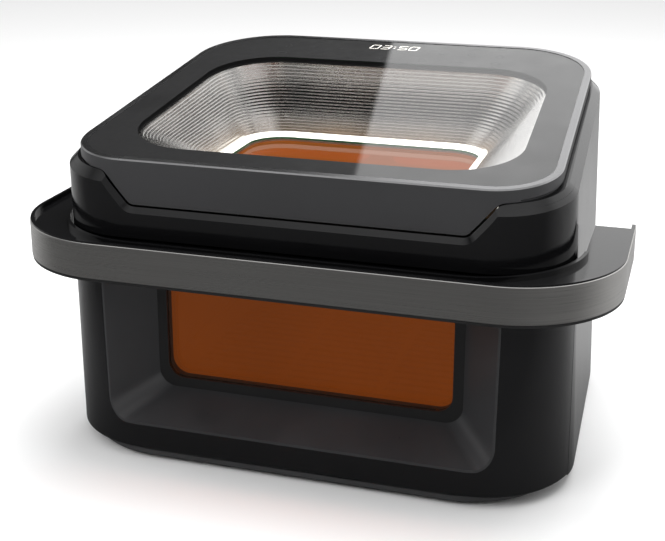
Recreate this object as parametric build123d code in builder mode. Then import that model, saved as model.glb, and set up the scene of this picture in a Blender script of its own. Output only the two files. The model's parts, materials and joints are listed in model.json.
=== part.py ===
"""Countertop air fryer: a wedge-shaped housing with a glass-topped ribbed reflector,
a wide pull-out drawer with a window, and a steel-banded handle that wraps three sides.

Millimetres.  +X is to the user's right, +Y to the rear, +Z up.
The origin is under the middle of the outer box, on the surface that the feet stand on.
"""
import os
from math import cos, radians, sin

from build123d import *

os.makedirs("parts", exist_ok=True)

# Housing: a drafted box, narrower to the rear and to the top
HOUSING_FRONT = -154.4
HOUSING_REAR = 167.0
HOUSING_HALF_REAR = 180.0
HOUSING_TAPER = 10.5
HOUSING_HALF_FRONT = HOUSING_HALF_REAR + HOUSING_TAPER
HOUSING_LOW = 8.6
HOUSING_HIGH = 270.0
SIDE_DRAFT = 0.034
FRONT_CORNER_LOW = 70.0
FRONT_CORNER_HIGH = 46.0
REAR_CORNER_LOW = 95.0
REAR_CORNER_HIGH = 74.0
WALL = 3.0
FAR = 300.0

# Sloping top
TOP_SLOPE = 7.05
FRAME_FRONT = HOUSING_FRONT + 3.4
FRAME_REAR = HOUSING_REAR - 7.0
FRAME_TOP = 225.6
FRAME_HALF_FRONT = HOUSING_HALF_FRONT - 17.2
FRAME_HALF_REAR = HOUSING_HALF_REAR - 15.0
FRAME_CORNER_FRONT = 46.0
FRAME_CORNER_REAR = 68.0
FRAME_HEIGHT = 8.6
FRAME_WIDTH = 5.4
FRAME_BEVEL = 0.9
FRAME_GROOVE = 1.2
FRAME_FOOT_INSET = 1.5
SHOULDER = 6.0
DECK_LEDGE = 12.0
GLASS_DROP = 0.3
GLASS_THICK = 4.0
SLIP = 0.1

# Apron that hangs from the frame at the front
APRON_DROP = 31.7
APRON_LOW = FRAME_TOP - APRON_DROP
APRON_HALF_HIGH = FRAME_HALF_FRONT - 35.0
APRON_HALF_LOW = APRON_HALF_HIGH - 20.3
APRON_THICK = 3.0
APRON_POCKET = 6.5
APRON_GAP = 1.0
APRON_BEVEL_RISE = 4.4
APRON_CORNER = 7.0
APRON_HOLLOW = 12.0
APRON_BURY = 0.5

# Clear window in the top and the reflector below it
VIEW_HALF_FRONT = FRAME_HALF_FRONT - 30.3
VIEW_HALF_REAR = FRAME_HALF_REAR - 27.5
VIEW_FRONT = FRAME_FRONT + 28.0
VIEW_REAR = FRAME_REAR - 62.5
VIEW_CORNER_FRONT = 50.0
VIEW_CORNER_REAR = 54.0
FUNNEL_SHEET = 1.2
FUNNEL_SLIP = 0.5
FUNNEL_HALF = VIEW_HALF_REAR - 37.3
FUNNEL_FRONT = VIEW_FRONT + 49.8
FUNNEL_REAR = VIEW_REAR - 45.3
FUNNEL_CORNER = 34.0
FUNNEL_LOW = FRAME_TOP - 22.6
RIB_COUNT = 22
RIB_RISE = 0.9
RIB_LEAN = 0.2

# Lamp ring, inner glass and what holds it
RING_WIDTH = 7.2
RING_THICK = 3.5
RING_LIP = 0.8
BOARD_THICK = 1.6
BOARD_MARGIN = 2.0
RETAINER_THICK = 1.4
INNER_GLASS_THICK = 4.0
INNER_GLASS_MARGIN = 6.0
SEAL_WIDTH = 8.0
CEILING_MARGIN = 8.0

# Cooking chamber liner, between the side spaces and the fan space
SIDE_SPACE = 26.0
FAN_SPACE = 54.0
DRAWER_DEPTH = 52.9
LINER_HALF = HOUSING_HALF_REAR - SIDE_SPACE
LINER_FRONT = HOUSING_FRONT + DRAWER_DEPTH
LINER_REAR = HOUSING_REAR - FAN_SPACE
LINER_LOW = 17.0
LINER_SHEET = 1.0
LINER_CORNER = 12.0

# Split between the drawer and the fixed housing
DRAWER_GAP = 0.8
DRAWER_LOW = 9.0
DRAWER_HIGH = 168.0
SHELF_LOW = DRAWER_HIGH + 2.5
CLOSING_FRAME = 3.0
LINER_SLIP = 0.5
MOUTH_HALF = LINER_HALF - 4.5
MOUTH_LOW = LINER_LOW + 4.4
MOUTH_HIGH = DRAWER_HIGH - 10.0
MOUTH_CORNER = 8.0

# Base tray and feet
BASE_LOW = 3.0
BASE_FLOOR = 3.0
BASE_INSET = 2.0
BASE_SIDE_INSET = 10.0
BASE_RIM = 4.0
BASE_DRAWER_GAP = 0.6
FLOOR_HOLE_INSET = 13.0
FOOT_RADIUS = 12.0
FOOT_X = HOUSING_HALF_REAR - 50.0
FOOT_FRONT = HOUSING_FRONT + 54.4
FOOT_REAR = HOUSING_REAR - 57.0
FOOT_STEM = 4.0
BASE_SCREW_X = HOUSING_HALF_REAR - 34.0
BASE_SCREW_FRONT = HOUSING_FRONT + 84.4
BASE_SCREW_REAR = HOUSING_REAR - 97.0
BASE_SLOTS = 9
BASE_SLOT_PITCH = 16.0
BASE_SLOT_LENGTH = 70.0
BASE_SLOT_WIDTH = 5.0
LINER_POST_RADIUS = 7.0
LINER_POST_X = LINER_HALF - 44.0
LINER_POST_Y = 80.0

# Recess and window of the drawer
RECESS_HALF = HOUSING_HALF_FRONT - 47.5
RECESS_LOW = 29.7
RECESS_HIGH = 147.0
RECESS_CORNER = 15.0
RECESS_DEPTH = 32.4
RECESS_WALL = 2.0
RECESS_FLOOR_HALF = RECESS_HALF - 29.0
RECESS_FLOOR_LOW = RECESS_LOW + 16.7
RECESS_FLOOR_HIGH = RECESS_HIGH - 5.0
RECESS_FLOOR_CORNER = 13.0
WINDOW_HALF = RECESS_FLOOR_HALF - 7.5
WINDOW_LOW = RECESS_FLOOR_LOW + 7.6
WINDOW_HIGH = RECESS_FLOOR_HIGH - 7.0
WINDOW_CORNER = 12.0
WINDOW_RING_THICK = 1.5
OUTER_PANE = 4.0
PANE_SPACER = 5.0
INNER_PANE = 3.5
PANE_MARGIN = 5.5
SPACER_MARGIN = 1.0
PANEL_SHEET = 1.0
PANEL_HALF = LINER_HALF + 16.0
PANEL_LOW = DRAWER_LOW + 8.0
PANEL_HIGH = DRAWER_HIGH - 5.0
PANEL_CORNER = 8.0
PANEL_BOSS_X = PANEL_HALF - 12.0
PANEL_BOSS_LOW = PANEL_LOW + 18.0
PANEL_BOSS_HIGH = PANEL_HIGH - 11.0
PANEL_BOSS_RADIUS = 5.0
GASKET_WIDTH = 3.6
GASKET_GAP = 0.3

# Handle round the front and both sides
HANDLE_HALF = HOUSING_HALF_FRONT + 25.5
HANDLE_FRONT = HOUSING_FRONT - 21.6
HANDLE_END = HANDLE_FRONT + 151.6
HANDLE_CORNER = 78.3
BAND_SHEET = 1.3
BAND_EASE = 0.4
BAND_LOW = 145.5
BAND_HIGH = 171.0
TRIM_HIGH = 1.3
TRIM_LOW = 1.9
TRIM_SETBACK = 0.4
TRIM_WIDTH = 3.0
TRAY_HALF_IN = HOUSING_HALF_FRONT - 3.0
TRAY_FRONT_IN = HOUSING_FRONT - 12.1
TRAY_CORNER_IN = 76.0
TRAY_TOP = BAND_HIGH - 2.0
TRAY_SKIN = 3.0
LIP_WIDTH = 2.6
LIP_TOP = TRAY_TOP + 3.4
LIP_END = HANDLE_FRONT + 81.0
COVER_SHEET = 2.2
SCREW_POCKET_SLIP = 0.4
BRIDGE_HALF = 104.0
BRIDGE_LOW = BAND_LOW + 5.0
BRIDGE_HIGH = BAND_LOW + 12.5

# Pan, plate and slides
PAN_SIDE_SPACE = 17.0
PAN_HALF = LINER_HALF - PAN_SIDE_SPACE
PAN_REAR = LINER_REAR - 17.0
PAN_LOW = LINER_LOW + 7.0
PAN_HIGH = 122.0
PAN_SHEET = 1.2
PAN_CORNER = 16.0
PAN_RIM = 3.0
PAN_WINDOW_DROP = 4.0
PAN_WINDOW_INSET = 2.0
RUNNER_DEPTH = 9.7
RUNNER_HEIGHT = 12.0
RUNNER_MIDDLE = 76.0
SLIDE_GAP = 0.3
RAIL_GAP = 1.2
RAIL_HEIGHT = 26.0
RAIL_FRONT = LINER_FRONT + 7.5
RAIL_REAR = LINER_REAR - 9.0
PLATE_MARGIN = 3.0
PLATE_SHEET = 1.6
PLATE_Z = PAN_LOW + 11.0
PLATE_RIM = 5.0
PLATE_SLOT = 72.0
PLATE_SLOT_WIDTH = 5.0
PLATE_PITCH = 11.0
PLATE_COLUMNS = 3
PLATE_ROWS = 15
PAD_RADIUS = 6.0
PAD_INSET = 16.0
PAD_SEAT = 1.0

# Fan, motor and heater
FAN_Z = 105.0
FAN_RADIUS = 54.0
FAN_DEPTH = 11.0
FAN_BLADES = 12
FAN_HUB_RADIUS = 9.0
FAN_GAP = 3.0
FAN_DISC = 1.2
FAN_BLADE_ANGLE = 24.0
FAN_BLADE_INSET = 1.0
SHROUD_RADIUS = FAN_RADIUS + 12.0
SHROUD_DEPTH = FAN_DEPTH + 7.0
SHROUD_SHEET = 1.0
SHROUD_HOLE = 2.0
SHROUD_BEND = 5.0
INLET_RADIUS = FAN_RADIUS + 1.0
GUARD_RADIUS = INLET_RADIUS + 8.0
GUARD_SHEET = 1.2
GUARD_HUB = 14.0
GUARD_SLOTS = 24
GUARD_SLOT_WIDTH = 4.0
SHAFT_RADIUS = 3.0
SHAFT_SLIP = 0.05
COOLER_RADIUS = 42.0
COOLER_DEPTH = 5.0
COOLER_GAP = 2.0
COOLER_BLADES = 10
MOTOR_RADIUS = 28.0
MOTOR_LENGTH = 16.0
MOTOR_EASE = 2.0
BRACKET_SHEET = 1.5
BRACKET_STANDOFF = COOLER_DEPTH + 4.0
BRACKET_POST_X = COOLER_RADIUS - 2.0
BRACKET_POST_Z = COOLER_RADIUS - 8.0
BRACKET_POST_RADIUS = 3.5
BRACKET_MARGIN = 6.0
HEATER_RADIUS = 3.3
HEATER_HALF = LINER_HALF - 36.0
HEATER_FRONT = LINER_FRONT + 13.5
HEATER_BACK = LINER_REAR - 41.0
HEATER_BEND = 30.0
HEATER_TAIL_X = 14.0
HEATER_TAIL_BEND = 10.0
HEATER_TAIL = 12.0
HEATER_DROP = 11.1
TAIL_HOLE_DEPTH = 2.0

# Rear cover
COVER_HALF = HOUSING_HALF_REAR - 62.0
COVER_LOW = 42.0
COVER_HIGH = 206.0
COVER_CORNER = 14.0
COVER_STEP = 1.5
COVER_LIP = 12.0
COVER_SCREW_INSET = 18.0
COVER_SCREW_EDGE = 7.0
COVER_GAP = 0.25
VENT_WIDTH = COVER_HALF - 34.0
VENT_HEIGHT = 4.0
VENT_PITCH = 10.0
VENT_ROWS = 9
SPACER_RADIUS = 9.0
SPACER_LENGTH = 9.0
SPACER_EASE = 1.5
SPACER_X = 70.0
SPACER_Z = COVER_HIGH + 22.0
INLET_X = -(COVER_HALF - 22.0)
INLET_RISE = 22.0
GLAND_RADIUS = 9.0
GLAND_STEM = 6.5
GLAND_BORE = 3.6
GLAND_FLANGE = 5.0
GLAND_DEPTH = 9.0

# Touch board and display under the rear strip of the glass
TOUCH_HALF = VIEW_HALF_REAR - 19.5
TOUCH_FRONT = VIEW_REAR + 8.5
TOUCH_REAR = FRAME_REAR - 11.0
TOUCH_THICK = 1.6
TOUCH_MARGIN = 1.0
CARRIER_DEPTH = 2.6
DISPLAY_X = -4.0
DISPLAY_Y = TOUCH_REAR - 10.5
DISPLAY_HALF = 27.0
DISPLAY_DEPTH = 18.0

# Small parts of the chamber
RETAINER_SCREW_X = FUNNEL_HALF + 10.2
RETAINER_SCREW_INSET = 30.0
TERMINAL_RADIUS = 2.0
TERMINAL_LENGTH = 9.0
CLIP_Y = 36.0
CLIP_WIDTH = 11.0
CLIP_SHEET = 1.5
CLIP_DROP = 5.5
PROBE_X = 62.0
PROBE_DROP = 25.1
PROBE_RADIUS = 2.4
PROBE_LENGTH = 22.0
PROBE_HEAD = 6.0
FUSE_X = -(LINER_HALF - 26.0)
FUSE_Y = 62.0
FUSE_HALF = 8.0
FUSE_HALF_DEPTH = 5.0
FUSE_BASE = 3.0
FUSE_CAP = 5.0
FUSE_CAP_RADIUS = 4.0

# Power board on its bracket, and the tallest of its components as (Y, Z, half width, half height, depth)
BRACKET_X = -(LINER_HALF + 14.0)
BRACKET_PLATE = 1.2
BRACKET_FOOT = 10.0
BOARD_FRONT = -56.0
BOARD_REAR = 56.0
BOARD_LOW = 40.0
BOARD_HIGH = 116.0
BOARD_POST = 5.0
BOARD_POST_RADIUS = 2.5
BOARD_POST_INSET = 6.0
BOARD_PARTS = (
    (-30, 60, 12, 10, 5.0),
    (6, 56, 8, 10, 4.5),
    (34, 66, 9, 8, 5.5),
    (-26, 96, 7, 7, 4.0),
    (16, 98, 14, 6, 3.5),
)

# Small parts of the drawer
EDGE_EASE = 1.2
SENSOR_X = PANEL_HALF - 7.0
SENSOR_Z = 100.0
MAGNET_HALF = 4.0
MAGNET_DEPTH = 4.0
MAGNET_HALF_HEIGHT = 6.0
SWITCH_HALF = 5.0
SWITCH_DEPTH = 7.0
SWITCH_HALF_HEIGHT = 9.0
GRIP_SCREW_X = HANDLE_HALF - 16.0
GRIP_SCREW_FRONT = HANDLE_FRONT + 86.0
GRIP_SCREW_REAR = HANDLE_END - 15.6

# Fasteners
SCREW_RADIUS = 2.0
SCREW_HEAD_RADIUS = 3.6
SCREW_HEAD = 2.2
SCREW_HEAD_TAPER = 12.0
SCREW_LENGTH = 8.0

# Planes and levels that several pieces share
TOP = Plane(
    origin=(0, FRAME_FRONT, FRAME_TOP),
    x_dir=(1, 0, 0),
    z_dir=(0, -sin(radians(TOP_SLOPE)), cos(radians(TOP_SLOPE))),
)
DECK = -(FRAME_HEIGHT + FRAME_GROOVE)
GLASS_UNDER = -(GLASS_DROP + GLASS_THICK)
BOARD_TOP = FUNNEL_LOW - RING_THICK
RETAINER_TOP = BOARD_TOP - BOARD_THICK
INNER_GLASS_TOP = RETAINER_TOP - RETAINER_THICK
LINER_HIGH = INNER_GLASS_TOP - INNER_GLASS_THICK - RETAINER_THICK
HEATER_Z = LINER_HIGH - HEATER_DROP
PROBE_Z = LINER_HIGH - PROBE_DROP
FRAME_UNDER = FRAME_TOP - FRAME_HEIGHT / cos(radians(TOP_SLOPE)) + APRON_BURY
PLAN_LOW = FUNNEL_LOW - 30
TALL = 100.0
RECESS_FLOOR = HOUSING_FRONT + RECESS_DEPTH
OUTER_PANE_FRONT = RECESS_FLOOR + WINDOW_RING_THICK
SPACER_FRONT = OUTER_PANE_FRONT + OUTER_PANE
INNER_PANE_FRONT = SPACER_FRONT + PANE_SPACER
PANEL_FRONT = INNER_PANE_FRONT + INNER_PANE
PANEL_REAR = PANEL_FRONT + PANEL_SHEET
DRAWER_REAR = LINER_FRONT - DRAWER_GAP
SHROUD_REAR = LINER_REAR + SHROUD_DEPTH
BRACKET_FRONT = SHROUD_REAR + BRACKET_STANDOFF
MOTOR_FRONT = BRACKET_FRONT + BRACKET_SHEET
FAN_FRONT = LINER_REAR + FAN_GAP


def front_plane(y):
    """Upright plane at a depth y, seen from the front: its axes are X and Z, it faces the user."""
    return Plane(origin=(0, y, 0), x_dir=(1, 0, 0), z_dir=(0, -1, 0))


def plan(half_front, half_rear, front, rear, corner_front, corner_rear, plane=Plane.XY):
    """Symmetric four-sided plan outline with rounded corners, as a face on a plane."""
    with BuildSketch(plane, mode=Mode.PRIVATE) as outline:
        with BuildLine():
            Polyline(
                (-half_front, front), (half_front, front), (half_rear, rear), (-half_rear, rear),
                close=True,
            )
        make_face()
        fillet(outline.vertices().group_by(Axis.Y)[0], corner_front)
        fillet(outline.vertices().group_by(Axis.Y)[-1], corner_rear)
    return outline.sketch


def upright(half, low, high, corner, y):
    """Symmetric rounded rectangle that stands on an upright plane."""
    with BuildSketch(front_plane(y), mode=Mode.PRIVATE) as outline:
        with Locations((0, (low + high) / 2)):
            RectangleRounded(2 * half, high - low, corner)
    return outline.sketch


def housing_outline(height, inset=0.0):
    """Plan of the housing at a height, moved inwards."""
    share = (height - HOUSING_LOW) / (HOUSING_HIGH - HOUSING_LOW)
    lean = SIDE_DRAFT * (height - HOUSING_LOW)
    return plan(
        HOUSING_HALF_FRONT - lean - inset,
        HOUSING_HALF_REAR - lean - inset,
        HOUSING_FRONT + inset,
        HOUSING_REAR - inset,
        FRONT_CORNER_LOW + share * (FRONT_CORNER_HIGH - FRONT_CORNER_LOW) - inset,
        REAR_CORNER_LOW + share * (REAR_CORNER_HIGH - REAR_CORNER_LOW) - inset,
        Plane.XY.offset(height),
    )


def housing(low, high, inset=0.0):
    """Solid of the housing between two heights, moved inwards."""
    with BuildPart(mode=Mode.PRIVATE) as body:
        loft([housing_outline(low, inset), housing_outline(high, inset)], ruled=True)
    return body.part


def frame_outline(inset=0.0):
    """Plan of the top frame, moved inwards."""
    return plan(
        FRAME_HALF_FRONT - inset, FRAME_HALF_REAR - inset, FRAME_FRONT + inset, FRAME_REAR - inset,
        FRAME_CORNER_FRONT - inset, FRAME_CORNER_REAR - inset, Plane.XY.offset(PLAN_LOW),
    )


def view_outline(grow=0.0):
    """Plan of the clear window in the top, moved outwards."""
    return plan(
        VIEW_HALF_FRONT + grow, VIEW_HALF_REAR + grow, VIEW_FRONT - grow, VIEW_REAR + grow,
        VIEW_CORNER_FRONT + grow, VIEW_CORNER_REAR + grow, Plane.XY.offset(PLAN_LOW),
    )


def ring_outline(grow=0.0, z=FUNNEL_LOW):
    """Plan of the lower end of the reflector, moved outwards, at a height."""
    return plan(
        FUNNEL_HALF + grow, FUNNEL_HALF + grow, FUNNEL_FRONT - grow, FUNNEL_REAR + grow,
        FUNNEL_CORNER + grow, FUNNEL_CORNER + grow, Plane.XY.offset(z),
    )


def sloped(outline, upper, lower):
    """Upright prism of an outline, cut by two planes parallel to the top."""
    with BuildPart(mode=Mode.PRIVATE) as prism:
        extrude(outline, amount=TALL)
        split(bisect_by=TOP.offset(upper), keep=Keep.BOTTOM)
        split(bisect_by=TOP.offset(lower), keep=Keep.TOP)
    return prism.part


def slab(outline, thickness):
    """Plate of an outline, raised by its thickness along the outline's own plane."""
    with BuildPart(mode=Mode.PRIVATE) as plate:
        extrude(outline, amount=thickness)
    return plate.part


def block(x, y, z):
    """Box from three (low, high) pairs."""
    with BuildPart(mode=Mode.PRIVATE) as box:
        with Locations(((x[0] + x[1]) / 2, (y[0] + y[1]) / 2, (z[0] + z[1]) / 2)):
            Box(x[1] - x[0], y[1] - y[0], z[1] - z[0])
    return box.part


def rod(radius, start, end):
    """Cylinder from one point to another."""
    axis = Vector(*end) - Vector(*start)
    with BuildPart(mode=Mode.PRIVATE) as cylinder:
        with BuildSketch(Plane(origin=start, z_dir=axis)):
            Circle(radius)
        extrude(amount=axis.length)
    return cylinder.part


def screws(seats, direction, length=SCREW_LENGTH):
    """Pan-head screws: each head stands on its seat, the shank runs along the direction."""
    way = Vector(*direction)
    solids = []
    for seat in seats:
        with BuildPart(mode=Mode.PRIVATE) as screw:
            with BuildSketch(Plane(origin=seat, z_dir=way * -1)):
                Circle(SCREW_HEAD_RADIUS)
            extrude(amount=SCREW_HEAD, taper=SCREW_HEAD_TAPER)
            with BuildSketch(Plane(origin=seat, z_dir=way)):
                Circle(SCREW_RADIUS)
            extrude(amount=length)
        solids.append(screw.part)
    return solids


def screw_holes(seats, direction, length=SCREW_LENGTH):
    """Holes that the shanks of the same screws pass through."""
    way = Vector(*direction)
    return [rod(SCREW_RADIUS + SLIP, seat, Vector(*seat) + way * (length + SLIP)) for seat in seats]


def save(piece, name):
    """Label a finished piece and write it to its own file."""
    piece.part.label = name
    export_step(piece.part, f"parts/{name}.step")


def apron_profile(grow, y):
    """Front view of the apron with the strip that it hangs from, moved outwards, on an upright plane."""
    reach = APRON_HALF_HIGH + APRON_HOLLOW
    top = FRAME_TOP + WALL
    with BuildSketch(front_plane(y), mode=Mode.PRIVATE) as profile:
        with BuildLine():
            Polyline(
                (-reach, FRAME_UNDER), (-APRON_HALF_HIGH, FRAME_UNDER), (-APRON_HALF_LOW, APRON_LOW),
                (APRON_HALF_LOW, APRON_LOW), (APRON_HALF_HIGH, FRAME_UNDER), (reach, FRAME_UNDER),
                (reach, top), (-reach, top),
                close=True,
            )
        make_face()
        fillet(profile.vertices().group_by(Axis.Y)[0], APRON_CORNER)
        hollow = [v for v in profile.vertices() if abs(abs(v.X) - APRON_HALF_HIGH) < SLIP]
        fillet(hollow, APRON_HOLLOW)
        if grow:
            offset(amount=grow)
    return profile.sketch


def u_plan(half, front, corner, z):
    """U-shaped plan that is open to the rear and ends with the handle."""
    with BuildSketch(Plane.XY.offset(z), mode=Mode.PRIVATE) as outline:
        with BuildLine():
            Polyline(
                (-half, front), (half, front), (half, HANDLE_END), (-half, HANDLE_END), close=True
            )
        make_face()
        fillet(outline.vertices().group_by(Axis.Y)[0], corner)
    return outline.sketch


def handle_plan(inset, z):
    """Outer outline of the handle, moved inwards, at a height."""
    return u_plan(HANDLE_HALF - inset, HANDLE_FRONT + inset, HANDLE_CORNER - inset, z)


def handle_hole(grow, low, high):
    """The space inside the handle that the housing stands in, moved outwards."""
    return slab(
        u_plan(TRAY_HALF_IN + grow, TRAY_FRONT_IN - grow, TRAY_CORNER_IN + grow, low), high - low
    )


# Main shell: skin, deck under the frame, shelf over the drawer and the frame round the chamber
cover_seats = [
    (x, HOUSING_REAR, z)
    for x in (-COVER_HALF + COVER_SCREW_EDGE, COVER_HALF - COVER_SCREW_EDGE)
    for z in (
        COVER_LOW + COVER_SCREW_INSET, (COVER_LOW + COVER_HIGH) / 2, COVER_HIGH - COVER_SCREW_INSET,
    )
]
with BuildPart() as main_shell:
    add(housing(HOUSING_LOW, HOUSING_HIGH))
    split(bisect_by=TOP.offset(DECK), keep=Keep.BOTTOM)
    deck_face = main_shell.faces().sort_by(Axis.Z)[-1]
    chamfer(deck_face.edges(), length=SHOULDER)
    bevel_start = HOUSING_FRONT - 2
    bevel_end = FRAME_FRONT - SLIP
    bevel_slope = APRON_BEVEL_RISE / (bevel_end - HOUSING_FRONT)
    loft(
        [
            apron_profile(APRON_GAP + bevel_slope * (bevel_end - bevel_start), bevel_start),
            apron_profile(APRON_GAP, bevel_end),
        ],
        ruled=True, mode=Mode.SUBTRACT,
    )
    extrude(apron_profile(APRON_GAP, bevel_end), amount=-APRON_POCKET, mode=Mode.SUBTRACT)
    with BuildPart(mode=Mode.PRIVATE) as hollow:
        add(housing(SHELF_LOW + WALL, HOUSING_HIGH, WALL))
        split(bisect_by=TOP.offset(DECK - WALL), keep=Keep.BOTTOM)
        add(
            housing(HOUSING_LOW + WALL, SHELF_LOW + WALL, WALL)
            & block((-FAR, FAR), (LINER_FRONT + CLOSING_FRAME, FAR), (0, SHELF_LOW + WALL))
        )
    add(hollow.part, mode=Mode.SUBTRACT)
    add(block((-FAR, FAR), (-FAR, LINER_FRONT), (0, SHELF_LOW)), mode=Mode.SUBTRACT)
    add(sloped(frame_outline(DECK_LEDGE), DECK + 1, DECK - WALL - 1), mode=Mode.SUBTRACT)
    liner_way = LINER_HALF + LINER_SLIP
    add(
        block(
            (-liner_way, liner_way), (LINER_FRONT - 1, LINER_FRONT + CLOSING_FRAME + 1),
            (0, SHELF_LOW + 1),
        ),
        mode=Mode.SUBTRACT,
    )
    add(
        block(
            (-liner_way, liner_way), (LINER_FRONT, LINER_REAR),
            (SHELF_LOW - 1, LINER_HIGH + LINER_SLIP),
        ),
        mode=Mode.SUBTRACT,
    )
    add(
        housing(HOUSING_LOW - 1, HOUSING_LOW + WALL + 1, FLOOR_HOLE_INSET)
        & block((-FAR, FAR), (LINER_FRONT + CLOSING_FRAME, FAR), (0, LINER_LOW)),
        mode=Mode.SUBTRACT,
    )
    extrude(upright(COVER_HALF, COVER_LOW, COVER_HIGH, COVER_CORNER, HOUSING_REAR + 1),
            amount=COVER_STEP + 1, mode=Mode.SUBTRACT)
    extrude(
        upright(COVER_HALF - COVER_LIP, COVER_LOW + COVER_LIP, COVER_HIGH - COVER_LIP,
                COVER_CORNER - COVER_LIP / 2, HOUSING_REAR + 1),
        amount=WALL + 2, mode=Mode.SUBTRACT,
    )
    with Locations(*[(x, HOUSING_REAR - WALL, z) for x, _, z in cover_seats]):
        Cylinder(SCREW_RADIUS + 2, WALL, rotation=(90, 0, 0))
    add(screw_holes(cover_seats, (0, -1, 0)), mode=Mode.SUBTRACT)
save(main_shell, "main_shell")


def base_outline(inset, height):
    """Plan of the base tray, which stands back from the sides of the housing, moved inwards."""
    return plan(
        HOUSING_HALF_FRONT - BASE_SIDE_INSET - inset, HOUSING_HALF_REAR - BASE_SIDE_INSET - inset,
        HOUSING_FRONT + BASE_INSET + inset, HOUSING_REAR - BASE_INSET - inset,
        FRONT_CORNER_LOW - BASE_INSET - inset, REAR_CORNER_LOW - BASE_INSET - inset,
        Plane.XY.offset(height),
    )


# Base tray: floor, rim and the posts that carry the chamber
foot_places = [(x, y) for x in (-FOOT_X, FOOT_X) for y in (FOOT_FRONT, FOOT_REAR)]
post_places = [(x, y) for x in (-LINER_POST_X, LINER_POST_X) for y in (-LINER_POST_Y, LINER_POST_Y)]
base_seats = [
    (x, y, BASE_LOW)
    for x, y in ((-BASE_SCREW_X, BASE_SCREW_FRONT), (BASE_SCREW_X, BASE_SCREW_FRONT),
                 (-BASE_SCREW_X, BASE_SCREW_REAR), (BASE_SCREW_X, BASE_SCREW_REAR))
]
with BuildPart() as base_tray:
    extrude(base_outline(0, BASE_LOW), amount=HOUSING_LOW - BASE_LOW)
    chamfer(base_tray.faces().sort_by(Axis.Z)[0].edges(), length=BASE_FLOOR / 2)
    extrude(base_outline(BASE_RIM, BASE_LOW + BASE_FLOOR), amount=HOUSING_LOW, mode=Mode.SUBTRACT)
    add(
        block(
            (-FAR, FAR), (-FAR, LINER_FRONT - DRAWER_GAP), (HOUSING_LOW - BASE_DRAWER_GAP, LINER_LOW),
        ),
        mode=Mode.SUBTRACT,
    )
    with BuildSketch(Plane.XY.offset(BASE_LOW + BASE_FLOOR)):
        with Locations(*post_places):
            Circle(LINER_POST_RADIUS)
    extrude(amount=LINER_LOW - BASE_LOW - BASE_FLOOR)
    with BuildSketch(Plane.XY.offset(BASE_LOW)):
        with GridLocations(BASE_SLOT_PITCH, 0, BASE_SLOTS, 1):
            SlotOverall(BASE_SLOT_LENGTH, BASE_SLOT_WIDTH, rotation=90)
    extrude(amount=BASE_FLOOR, mode=Mode.SUBTRACT)
    with BuildSketch(Plane.XY.offset(BASE_LOW)):
        with Locations(*foot_places):
            Circle(FOOT_STEM)
    extrude(amount=BASE_FLOOR, mode=Mode.SUBTRACT)
    add(screw_holes(base_seats, (0, 0, 1)), mode=Mode.SUBTRACT)
save(base_tray, "base_tray")

with BuildPart() as rubber_feet:
    for x, y in foot_places:
        with BuildSketch(Plane.XY):
            with Locations((x, y)):
                Circle(FOOT_RADIUS)
        extrude(amount=BASE_LOW)
    chamfer(rubber_feet.faces().filter_by(Plane.XY).group_by(Axis.Z)[0].edges(), length=1)
    with BuildSketch(Plane.XY.offset(BASE_LOW)):
        with Locations(*foot_places):
            Circle(FOOT_STEM - SLIP)
    extrude(amount=BASE_FLOOR)
save(rubber_feet, "rubber_feet")

with BuildPart() as base_screws:
    add(screws(base_seats, (0, 0, 1)))
save(base_screws, "base_screws")

# Rear cover with its vents, screws and wall spacers
spacer_places = [(-SPACER_X, SPACER_Z), (SPACER_X, SPACER_Z)]
inlet_place = (INLET_X, COVER_LOW + INLET_RISE)
with BuildPart() as rear_cover:
    extrude(upright(COVER_HALF - COVER_GAP, COVER_LOW + COVER_GAP, COVER_HIGH - COVER_GAP,
                    COVER_CORNER - COVER_GAP, HOUSING_REAR), amount=COVER_STEP)
    with BuildSketch(front_plane(HOUSING_REAR)):
        with Locations((0, (COVER_LOW + COVER_HIGH) / 2)):
            with GridLocations(VENT_WIDTH + VENT_PITCH, VENT_PITCH, 2, VENT_ROWS):
                SlotOverall(VENT_WIDTH, VENT_HEIGHT)
        with Locations(inlet_place):
            Circle(GLAND_STEM + SLIP)
    extrude(amount=COVER_STEP, mode=Mode.SUBTRACT)
    add(screw_holes(cover_seats, (0, -1, 0)), mode=Mode.SUBTRACT)
save(rear_cover, "rear_cover")

with BuildPart() as rear_cover_screws:
    add(screws(cover_seats, (0, -1, 0)))
save(rear_cover_screws, "rear_cover_screws")

with BuildPart() as rear_spacers:
    for x, z in spacer_places:
        add(rod(SPACER_RADIUS, (x, HOUSING_REAR, z), (x, HOUSING_REAR + SPACER_LENGTH, z)))
    chamfer(rear_spacers.faces().sort_by(Axis.Y)[-2:].edges(), length=SPACER_EASE)
save(rear_spacers, "rear_spacers")

with BuildPart() as cord_inlet:
    x, z = inlet_place
    add(rod(GLAND_RADIUS, (x, HOUSING_REAR, z), (x, HOUSING_REAR + GLAND_FLANGE, z)))
    add(rod(GLAND_STEM, (x, HOUSING_REAR - GLAND_DEPTH, z), (x, HOUSING_REAR, z)))
    add(rod(GLAND_BORE, (x, HOUSING_REAR - GLAND_DEPTH, z), (x, HOUSING_REAR + GLAND_FLANGE, z)),
        mode=Mode.SUBTRACT)
save(cord_inlet, "cord_inlet")

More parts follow.
